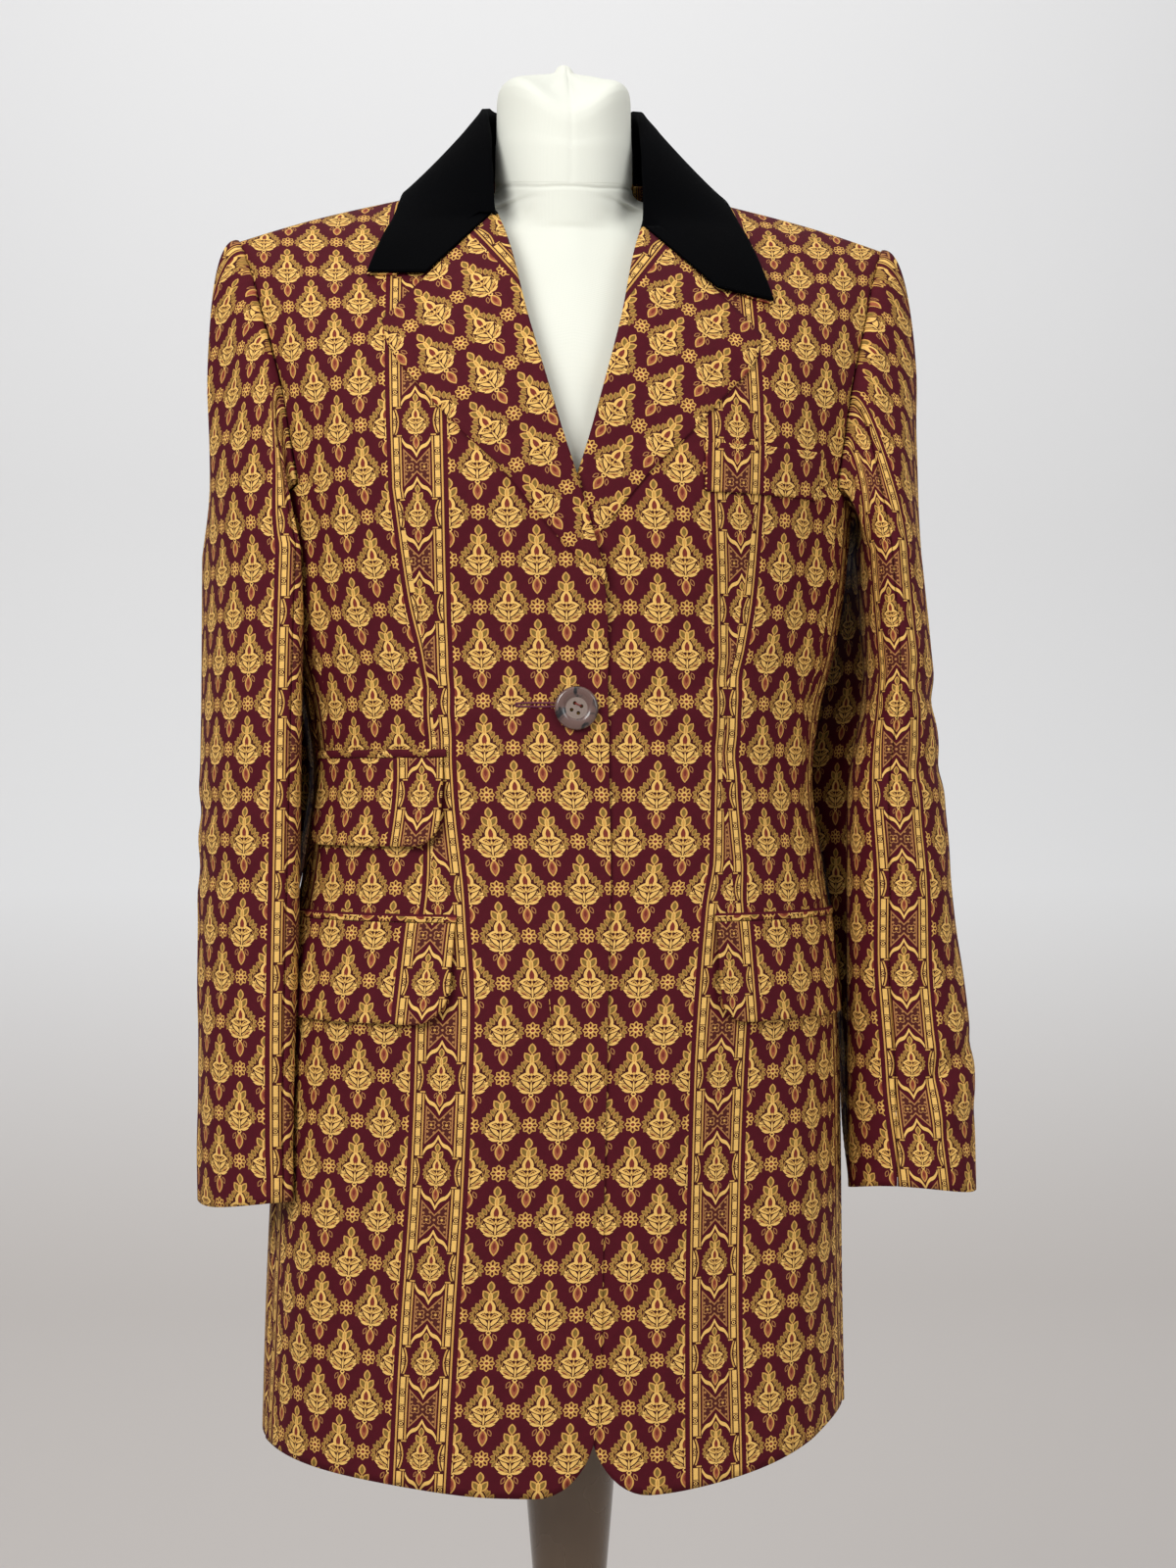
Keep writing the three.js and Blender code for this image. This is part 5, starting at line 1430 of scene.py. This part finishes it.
for side, hand in ((-1, "right"), (1, "left")):
    flip = np.array([side, 1, 1])
    down = fronts[side][ROWS_BELOW_ARM:, -1][::-1]
    under = sides[side][-1]
    rise = backs[side][ROWS_BELOW_ARM:, -1]
    crown = (down[0] + rise[-1]) / 2
    loop = np.concatenate([crown[None], down[1:], under[1:-1], rise[:-1], crown[None]]) * flip
    walk = walked(loop)
    even = np.linspace(0, walk[-1], AROUND + 1)
    loop = np.stack([np.interp(even, walk, loop[:, k]) for k in range(3)], -1)
    turns = 2 * math.pi * even / even[-1]
    end = tube_ring(side, CAP_END, turns)
    high = np.clip((loop[:, 2:] - 1208) / 183, 0, 1)
    start = loop + np.concatenate([SEAM + 0 * high, 0 * high, SEAM * (1 - high)], 1)
    reach = 7 + 20 * high**2
    middle = np.concatenate(
        [start[:, :1] + reach, mixed(start[:, 1:2], end[:, 1:2], 0.3), start[:, 2:] + 1 + 4 * high], 1
    )
    t = np.concatenate([[0, 0.008, 0.018, 0.03], np.linspace(0.05, 1, CAP_ROWS)])[:, None, None]
    cap = (1 - t) ** 2 * start + 2 * t * (1 - t) * middle + t**2 * end
    inward = unit(loop.mean(axis=0) - loop)
    turned_in = start + inward * TURNING["in"] - [TURNING["under"], 0, 0]
    cap = np.concatenate([turned_in[None], cap])
    levels = np.linspace(CAP_END, CUFF[side], TUBE_ROWS + 1)[1:]
    tube = np.stack([tube_ring(side, z, turns) for z in levels])
    face = np.concatenate([cap, tube])[::-1]
    normals = grid_normals(face, closed=True)
    outward = 1 if normals[40, 0, 0] > 0 else -1
    normals = normals * outward
    up_cloth = height_on_cloth(face, normals, face[0, :, 2] - PRINT_LEVEL)
    steps = np.linalg.norm(np.diff(face, axis=1), axis=-1)
    around = np.concatenate([np.zeros((len(face), 1)), np.cumsum(steps, axis=1)], axis=1)
    stripe_turn = np.radians(SLEEVE_STRIPE[side]["turn"](face[:, 0, 2]))
    stripe_at = np.array([np.interp(a, turns, row) for a, row in zip(stripe_turn, around)])
    across = around - stripe_at[:, None]
    dimple = 0.9 * np.sin(turns * 46) * np.exp(-((edge_distance(face, "top") / 9) ** 2))
    dimple = dimple * ease(np.cos(turns), 0.1, 0.8)
    face = creased(face, normals, SLEEVE_CREASES[side]) + normals * dimple[..., None]
    front_seam = int(np.argmax(turns > math.radians(88)))
    back_seam = int(np.argmax(turns > math.radians(262)))
    inside_out = (outward < 0) != (side < 0)
    wrapped = around[:, -1:]
    upper = np.concatenate([np.arange(back_seam, AROUND), np.arange(0, front_seam + 1)])
    lower = np.arange(front_seam, back_seam + 1)
    for part, pick in (("top", upper), ("under", lower)):
        piece = face[:, pick]
        own = normals[:, pick]
        grain_u = across[:, pick].copy()
        if part == "top":
            grain_u[:, : AROUND - back_seam] -= wrapped
        piece = tucked(piece, own, ("left", "right", "top"))
        inset = 0.15
        piece[:, 0] += unit(piece[:, 1] - piece[:, 0]) * inset
        piece[:, -1] += unit(piece[:, -2] - piece[:, -1]) * inset
        node = f"{part}_sleeve_{hand}"
        FLIPPED[f"{node}_printed"] = inside_out
        cloth_piece(f"{node}_printed", piece * flip, node, (grain_u, up_cloth[:, pick]))

# %% [markdown]
# Flaps, jets and the welt lie on the front, so they are made from its own measures and moved out
# by the thickness of the cloth. A flap is held only at its top: lower down it stands off a little,
# and its free corner lifts.

# %% The pockets
POCKET_COLUMNS = "side from to top bottom round off stripe".split()
POCKETS = {
    "flap_right": (-1, 75, 218, 950.5, 889, 20, 0.7, 89),
    "flap_left": (1, 90, 229, 950.5, 889, 16, 0.7, 96),
    "ticket_flap": (-1, 82, 190, 1051, 996.5, 14, 1, 95),
    "breast_welt": (1, 79, 168, 1243, 1213, 0, 0.4, 99.4),
}
JET_HEIGHT = 5


def lying_piece(pocket, rows, lift_low, level_shift=0.0, turned_grain=False):
    start, stop, low, top = pocket["from"], pocket["to"], pocket["bottom"], pocket["top"]
    round_by = max(pocket["round"], 0.001)
    ends = np.array([0, 0.02, 0.06, 0.12, 0.2, 0.3, 0.42, 0.56, 0.72, 0.88]) * max(pocket["round"], 8)
    inner = np.arange(start + ends[-1] + 3, stop - ends[-1] - 2, 3)
    distance = np.concatenate([start + ends, inner, (stop - ends)[::-1]])
    near = np.minimum(distance - start, stop - distance)
    c = np.clip(1 - near / round_by, 0, 1)
    floor = low + pocket["round"] * (1 - np.sqrt(1 - c * c))
    middle = (top + low) / 2
    angle = angle_at_girth(distance, middle)
    v = np.linspace(0, 1, rows)[:, None]
    z = mixed(floor[None, :], top, v)
    points = at_angle(angle[None, :] + 0 * z, z)
    normals = normal_at(points)
    side = pocket["side"]
    stand_off = front_lift(points[..., 0], z, side) + pocket["off"] + CLOTH
    share = (distance - start) / (stop - start)
    curl = lift_low * (1 - v) ** 1.6 * (0.45 + 0.55 * np.cos(share * 7.5 + side) ** 2)[None, :]
    corner = 1.4 * lift_low * np.exp(-(distance - start) / 16)[None, :] * (1 - v) ** 0.7
    face = points + normals * (stand_off + curl + corner)[..., None]
    across = distance[None, :] - pocket["stripe"] + 0 * z
    up = z - PRINT_LEVEL + level_shift
    if turned_grain:
        across, up = up, across
    return out_to_side(face, side), (across, up)


for name, row in POCKETS.items():
    pocket = dict(zip(POCKET_COLUMNS, row))
    under = f"front_{'right' if pocket['side'] < 0 else 'left'}_printed"
    wide, long = pocket["to"] - pocket["from"], pocket["top"] - pocket["bottom"]
    cut = (round(wide + 1.5) / 1000, round(long + 1.5) / 1000)
    if name == "breast_welt":
        face, grain = lying_piece(pocket, 16, 0.0, level_shift=9.0)
        cloth_piece(f"{name}_printed", face, name, grain, cut=cut)
        continue
    face, grain = lying_piece(pocket, 26, 2.4)
    cloth_piece(f"{name}_printed", face, name, grain, cut=cut)
    strip = dict(pocket, round=0, bottom=pocket["top"] + SEAM, top=pocket["top"] + SEAM + JET_HEIGHT)
    strip["from"] -= 3
    strip["to"] += 3
    face, grain = lying_piece(strip, 9, 0.0, 24.0, turned_grain=True)
    bend = np.sin(np.linspace(0, math.pi, 9))[:, None, None] * 0.7
    face = face + grid_normals(face) * bend * (1 if pocket["side"] > 0 else -1)
    node = name.replace("flap", "jet")
    cloth_piece(f"{node}_printed", face, node, grain)

# %% [markdown]
# The button is a turned disc of horn: a round rim, a dished middle and four holes. It is drawn as
# a section and spun, and the holes are cut by a Boolean, as a drill cuts them.

# %% A turned shape
BUTTON = {"z": 1081, "radius": 13.3, "thick": 4, "hole": 1.15, "ring": 3.2, "turn": 20}


def turned(name, profile, segments, stretch=(1, 1), shift=(0, 0)):
    """Spins rows of radius and height; the first and last rows are on the axis."""
    points, faces = [(shift[0], shift[1], profile[0][1])], []
    turns = np.linspace(0, 2 * math.pi, segments, endpoint=False)
    for radius, z in profile[1:-1]:
        for a in turns:
            x, y = radius * stretch[0] * math.cos(a), radius * stretch[1] * math.sin(a)
            points.append((shift[0] + x, shift[1] + y, z))
    points.append((shift[0], shift[1], profile[-1][1]))
    last = len(points) - 1
    for k in range(segments):
        following = (k + 1) % segments
        faces.append((0, 1 + following, 1 + k))
        for i in range(len(profile) - 3):
            a, b = 1 + i * segments, 1 + (i + 1) * segments
            faces.append((a + k, a + following, b + following, b + k))
        faces.append((last - segments + k, last - segments + following, last))
    return new_mesh(name, points, faces)


def rounded_profile(rows, steps):
    """More rows between the given ones, along a smooth line."""
    r = np.array(rows, float)
    walk = walked(r)
    fine = np.unique(np.concatenate([walk, np.linspace(0, walk[-1], steps)]))
    return list(zip(smooth_curve(walk, r[:, 0])(fine), smooth_curve(walk, r[:, 1])(fine)))


def bake_modifiers(obj):
    graph = bpy.context.evaluated_depsgraph_get()
    mesh = bpy.data.meshes.new_from_object(obj.evaluated_get(graph))
    obj.modifiers.clear()
    obj.data = mesh


R = BUTTON["radius"]
section = [(0, 0), (R - 2.2, 0), (R - 0.7, 0.5), (R, 1.5), (R, 2.3), (R - 0.5, 3.2), (R - 1.7, 3.9)]
section += [(R - 3.2, 4.0), (R - 4.6, 3.75), (R - 5.7, 3.3), (R - 6.3, 2.75), (R - 7.2, 2.6)]
section += [(R - 9, 2.62), (0, 2.7)]
disc = turned("horn_button", rounded_profile(section, 34), 96)
cutters = []
for k in range(4):
    a = math.radians(BUTTON["turn"] + 90 * k)
    bpy.ops.mesh.primitive_cylinder_add(
        vertices=24,
        radius=BUTTON["hole"] / 1000,
        depth=0.02,
        location=(BUTTON["ring"] * math.cos(a) / 1000, BUTTON["ring"] * math.sin(a) / 1000, 0),
    )
    cutters.append(bpy.context.object)
    cut = disc.modifiers.new("hole", "BOOLEAN")
    cut.object = cutters[-1]
    cut.solver = "EXACT"
bake_modifiers(disc)
for cutter in cutters:
    bpy.data.objects.remove(cutter)
layer = disc.data.uv_layers.new(name="disc")
for loop in disc.data.loops:
    co = disc.data.vertices[loop.vertex_index].co
    layer.data[loop.index].uv = (co.x, co.y)
spot = on_surface(0.0, BUTTON["z"])
facing = normal_at(spot)
turn = Vector((0, 0, 1)).rotation_difference(Vector(facing)).to_matrix().to_4x4()
button_place = (spot + facing * (SEAM + 0.3) + [HANG_X, 0, 0]) / 1000
turn.translation = Vector(button_place)
disc.data.transform(turn)
disc.data.set_sharp_from_angle(angle=math.radians(50))
disc.data.materials.clear()
dressed(disc, "horn", "button")
print("button faces:", len(disc.data.polygons))

# %% [markdown]
# Thread is a twisted cord, and the buttonhole is a row of stitches laid side by side round a
# slit. Both are tubes: a ring of points carried along a path.

# %% Thread


def thread_tube(name, path, radius, material, closed=False, ripple=0.0, ripples=0):
    path = np.array(path, float)
    count, around = len(path), 8
    ahead = np.roll(path, -1, 0) - np.roll(path, 1, 0) if closed else np.gradient(path, axis=0)
    ahead = unit(ahead)
    first = unit(np.cross(ahead, np.array([0.13, 0.21, 0.97])))
    second = np.cross(ahead, first)
    turns = np.linspace(0, 2 * math.pi, around, endpoint=False)
    size = radius * (1 + ripple * np.sin(np.arange(count) / count * 2 * math.pi * ripples))
    points = (
        path[:, None]
        + first[:, None] * (np.cos(turns)[None, :, None] * size[:, None, None])
        + second[:, None] * (np.sin(turns)[None, :, None] * size[:, None, None])
    )
    faces = tube_faces(count, around, closed)
    if not closed:
        faces.append(tuple(range(around - 1, -1, -1)))
        faces.append(tuple((count - 1) * around + k for k in range(around)))
    dressed(new_mesh(name, points.reshape(-1, 3), faces), material)


stitch_ends = [math.radians(BUTTON["turn"] + 90 * k) for k in (0, 1)]
a, b = (np.array([BUTTON["ring"] * math.cos(s), BUTTON["ring"] * math.sin(s), 0]) for s in stitch_ends)
t = np.linspace(0, 1, 13)[:, None]
arc = a + (b - a) * t + np.array([0, 0, 1]) * (1.2 + 2.2 * np.sin(math.pi * t) ** 0.6)
matrix = np.array(turn)[:3, :3]
thread_tube("button_stitch", arc @ matrix.T + button_place * 1000, 0.42, "red_thread")

hole_x = np.array([-36.5, -9.0])
sweep = np.linspace(0, 2 * math.pi, 180, endpoint=False)
flat_x = np.clip(np.cos(sweep) * 1.25, -1, 1)
loop_x = hole_x.mean() + flat_x * (hole_x[1] - hole_x[0]) / 2
loop_z = BUTTON["z"] + 2.0 + 1.15 * np.sign(np.sin(sweep)) * np.abs(np.sin(sweep)) ** 0.6
loop = on_surface(loop_x, loop_z)
lift = front_lift(-loop_x, loop_z, -1)
loop = loop + normal_at(loop) * (lift + 0.25)[:, None] + [HANG_X, 0, 0]
thread_tube("buttonhole_stitches", loop, 0.62, "maroon_thread", closed=True, ripple=0.22, ripples=60)

# %% [markdown]
# The form is a stuffed torso in stretched jersey, with no arms or head. Only its neck and chest
# show. Above the neck seam the jersey is drawn together on top: it sinks where the board below
# ends, and gathers towards a small tuft.

# %% The form
FORM_GAP = {"side": 9, "front": 9, "back": 14, "ridge": 3, "shoulder": 4, "neck": 9}
FORM_SIDE = measures(
    "z x", (660, 178), (1180, 174), (1230, 171), (1300, 175), (1345, 184), (1375, 188), (1440, 190)
)
NECK_START = 1390
NECK_SEAM = 1415.7
NECK = {"half": 45, "front": 56, "back": 51}


def neck_seam_rise(y):
    """The seam runs level in front and climbs a little towards the sides of the neck."""
    return 13.5 * np.clip((y + NECK["front"]) / NECK["front"], 0, 1)


def form_y(x, z, back):
    ax = np.abs(x)
    nape = np.where(back, NAPE_RISE["form"] * (1 - np.minimum(1, (ax / NECK_POINT["x"]) ** 4)), 0)
    dip = FORM_GAP["shoulder"] + FORM_GAP["neck"] * (1 - ease(ax, 90, 140))
    line = SHOULDER["z"](np.minimum(260, ax)) + nape - dip
    height = np.clip((line - z) / (FALL["back"] if back else FALL["front"]), 0, 1)
    spot = -(((ax - BUST["x"]) / BUST["reach"]) ** 2) - ((z - BUST["z"]) / BUST["reach"]) ** 2
    depth = BODY["back"](z) if back else BODY["front"](z) + BUST["out"] * np.exp(spot)
    gap = FORM_GAP["back" if back else "front"]
    depth = depth - FORM_GAP["ridge"] - (gap - FORM_GAP["ridge"]) * ease(height, 0, 0.5)
    half = BODY["half"](z) - FORM_GAP["side"]
    power = BODY["power"](z)
    rounding = np.maximum(0, 1 - (np.minimum(ax, half) / half) ** power) ** (1 / power)
    return depth * rounding * np.sin(math.pi / 2 * height**ROUNDNESS), line


def form_reach(z):
    x = np.arange(250, 0, -0.25)
    _, line = form_y(x, z + 0 * x, False)
    fits = x[line >= z]
    reach = fits[0] if len(fits) else 1
    half = min(reach, BODY["half"](z) - FORM_GAP["side"], FORM_SIDE["x"](z))
    return max(half, NECK["half"] if z > NECK_START else 0)


spans = [np.linspace(668, 1340, 85), np.linspace(1340, 1415.2, 60), np.linspace(1415.8, 1440, 41)]
form_levels = np.unique(np.concatenate(spans))
form_turns = np.linspace(-math.pi / 2, math.pi / 2, 61)[:-1]
rings = []
for z in form_levels:
    half = form_reach(z)
    sides_of_ring = []
    for back, turns in ((False, form_turns), (True, -form_turns)):
        x = half * np.sin(turns)
        rounding = np.maximum(0, 1 - np.abs(np.sin(turns)) ** 6) ** (1 / 6)
        y, _ = form_y(x, z + 0 * x, back)
        y = (y if back else -y) * rounding
        if z > NECK_START:
            curve = np.sqrt(np.maximum(0, 1 - (x / NECK["half"]) ** 2))
            centre = (NECK["back"] - NECK["front"]) / 2
            deep = (NECK["back"] + NECK["front"]) / 2
            edge = centre + (deep if back else -deep) * curve - RIDGE_Y
            inside = np.abs(x) < NECK["half"]
            y = np.where(inside, np.maximum(y, edge) if back else np.minimum(y, edge), y)
        sides_of_ring.append(np.stack([x + BODY["lean"](z) + HANG_X, y + RIDGE_Y, z + 0 * x], -1))
    rings.append(np.concatenate(sides_of_ring))
rings = np.stack(rings)
for _ in range(3):
    smoothed = rings.copy()
    smoothed[1:-1] = rings[1:-1] * 0.5 + (rings[:-2] + rings[2:]) * 0.25
    rings = smoothed
centre = rings.mean(axis=1, keepdims=True)
seam_level = NECK_SEAM + neck_seam_rise(rings[..., 1:2] - RIDGE_Y)
groove = 0.9 * np.exp(-(((form_levels[:, None, None] - seam_level) / 0.9) ** 2))
seam = 0.6 * np.exp(-((np.abs(rings[..., :1] - (HANG_X + 2)) / 0.9) ** 2)) * (rings[..., 1:2] < 0)
away = unit((rings - centre) * [1, 1, 0])
rings = rings - away * (groove + seam)
around = rings.shape[1]
faces = tube_faces(len(rings), around)
points = rings.reshape(-1, 3).tolist()
for row, flip in ((0, True), (len(rings) - 1, False)):
    points.append(rings[row].mean(axis=0).tolist())
    for k in range(around):
        n = (k + 1) % around
        trio = (row * around + k, row * around + n, len(points) - 1)
        faces.append(trio[::-1] if flip else trio)
dressed(new_mesh("blazer_form", points, faces), "jersey", "form_torso")
print("form quads:", len(faces))

# %% The neck with its gathered cap
NECK_PROFILE = [
    # radius as a share of the half width, height
    (0, 1416.4), (0.99, 1416.4), (1.003, 1417.5), (1.0, 1443),
    (0.985, 1458), (0.98, 1470), (0.978, 1480), (0.962, 1487),
    (0.92, 1491.5), (0.84, 1495), (0.72, 1497.6), (0.56, 1499.6), (0.4, 1501), (0.26, 1502), (0.15, 1503.2),
    (0.12, 1505), (0.085, 1507.2), (0.04, 1508.4), (0, 1508.6),
]
GATHERS = [(7, 0.6, 0.5), (12, 2.1, 0.3), (3, -0.4, 0.5)]
profile = rounded_profile(NECK_PROFILE, 90)
stretch = (NECK["front"] + NECK["back"]) / 2 / NECK["half"]
centre_y = (NECK["back"] - NECK["front"]) / 2
section = [(r * NECK["half"], z) for r, z in profile]
neck = turned("form_neck_cap", section, 192, (1, stretch), (HANG_X, centre_y))
for vertex in neck.data.vertices:
    x, y, z = vertex.co.x * 1000 - HANG_X, vertex.co.y * 1000 - centre_y, vertex.co.z * 1000
    radius = math.hypot(x, y / stretch)
    turn_at = math.atan2(y, x)
    top = float(ease(z, 1484, 1497)) * float(ease(radius, 1, 16))
    folds = sum(size * math.sin(turn_at * count + start) for count, start, size in GATHERS)
    rise = float(neck_seam_rise(y)) * (1 - float(ease(z, 1417.5, 1470)))
    dip = 25 * math.exp(-(((x - 2) / 27) ** 2)) * float(ease(-y, -4, 50)) * float(ease(z, 1430, 1486))
    z += rise - dip + top * folds * 1.5 * math.exp(-(((radius - 20) / 15) ** 2))
    seam = math.exp(-(((x - 2) / 0.9) ** 2)) * (y < 0) * 0.6
    scale = 1 - seam / max(radius, 8)
    vertex.co = ((x * scale + HANG_X) / 1000, (y * scale + centre_y) / 1000, z / 1000)
dressed(neck, "jersey", "form_neck")

# %% [markdown]
# The stand is plain: a tapered column with a lacquer shine, and a flat round foot below the
# picture. Both are spun from their sections.

# %% The stand
COLUMN_PROFILE = [
    (0, 30), (14, 30), (14, 380), (17, 430), (24.5, 518), (28.8, 570), (33, 630), (35, 667.7), (0, 667.7),
]
FOOT_PROFILE = [
    (0, 0), (149.4, 0), (150, 0.8), (150, 5.4), (148, 8.4),
    (145, 10.6), (60, 19), (26, 25), (24, 29.7), (0, 29.7),
]
for name, node, profile in (
    ("lacquered_column", "stand_column", rounded_profile(COLUMN_PROFILE, 70)),
    ("lacquered_foot", "stand_foot", FOOT_PROFILE),
):
    piece = turned(name, profile, 128)
    piece.data.set_sharp_from_angle(angle=math.radians(40))
    dressed(piece, "bronze", node)

# %% [markdown]
# The room is a plain pale sweep: a floor that bends up into a wall, far enough away to look even.
# Its paper carries painted shade: it is painted darker towards the floor.
# Two large soft lamps stand to the left and right of the camera, a weaker one is overhead, and the
# fourth washes the wall.

# %% Floor and wall
material, tree, shader = new_material("pale_backdrop")
axes = tree.nodes.new("ShaderNodeSeparateXYZ")
feed(tree, axes.inputs[0], own_place(tree))
# painted shade: the paper is painted darker near the floor, fading to its pale colour by 0.77 m up
floor_paper_painted_shade = linear(190, 185, 182)
high_paper = painted(tree, linear(222, 223, 226), linear(229, 230, 231), clouds(tree, 0.5))
painted_shade_fade = (Wire(tree, axes.outputs[2]) * 1.3).sum("MINIMUM", 1.0)
feed(tree, shader.inputs["Base Color"], painted(tree, floor_paper_painted_shade, high_paper, painted_shade_fade))
shader.inputs["Roughness"].default_value = 0.9
SWEEP = {"from": 3.2, "radius": 1.8}
sweep_row = [(-9.0, 0.0), (SWEEP["from"], 0.0)]
radius = SWEEP["radius"]
for a in np.linspace(0.08, math.pi / 2, 24):
    sweep_row.append((SWEEP["from"] + radius * math.sin(a), radius - radius * math.cos(a)))
sweep_row += [(SWEEP["from"] + radius, 8.0)]
points = [(x * 1000, y * 1000, z * 1000 - 0.2) for y, z in sweep_row for x in (-9.0, 9.0)]
faces = [(2 * i, 2 * i + 1, 2 * i + 3, 2 * i + 2) for i in range(len(sweep_row) - 1)]
sweep = new_mesh("studio_sweep", points, faces)
sweep.data.materials.append(material)

# %% Light and camera
world = bpy.data.worlds.new("pale_room")
world.use_nodes = True
world.node_tree.nodes["Background"].inputs["Color"].default_value = (0.93, 0.925, 0.915, 1)
world.node_tree.nodes["Background"].inputs["Strength"].default_value = 0.46
bpy.context.scene.world = world


def soft_lamp(name, place, aim, size, watts, colour):
    lamp = bpy.data.lights.new(name, "AREA")
    lamp.shape = "RECTANGLE"
    lamp.size, lamp.size_y = size
    lamp.energy = watts
    lamp.color = colour
    obj = bpy.data.objects.new(name, lamp)
    obj.location = place
    obj.rotation_euler = (Vector(aim) - Vector(place)).to_track_quat("-Z", "Y").to_euler()
    bpy.context.scene.collection.objects.link(obj)


soft_lamp("window_left", (-1.4, -1.8, 2.2), (0, 0, 1.45), (1.2, 1.2), 45, (1.0, 0.99, 0.97))
soft_lamp("window_right", (1.9, -2.0, 1.9), (0, 0, 1.4), (1.4, 1.4), 25, (1.0, 0.995, 0.985))
soft_lamp("overhead", (0.2, -0.6, 3.4), (0, 0.2, 1.0), (2.2, 2.2), 12, (1, 1, 1))
soft_lamp("wall_wash", (0.0, 1.6, 4.4), (0.0, 5.0, 1.4), (5.0, 0.8), 110, (1.0, 0.995, 0.985))

camera = bpy.data.cameras.new("photo_camera")
camera.sensor_fit = "VERTICAL"
camera.sensor_height = 36
camera.sensor_width = 36
camera.lens = 2476 * 36 / 1600
obj = bpy.data.objects.new("photo_camera", camera)
obj.location = (-0.0995, -1.597, 1.035)
obj.rotation_euler = (math.pi / 2, 0, math.radians(-4))
bpy.context.scene.collection.objects.link(obj)
bpy.context.scene.camera = obj
bpy.context.scene.view_settings.view_transform = "Standard"
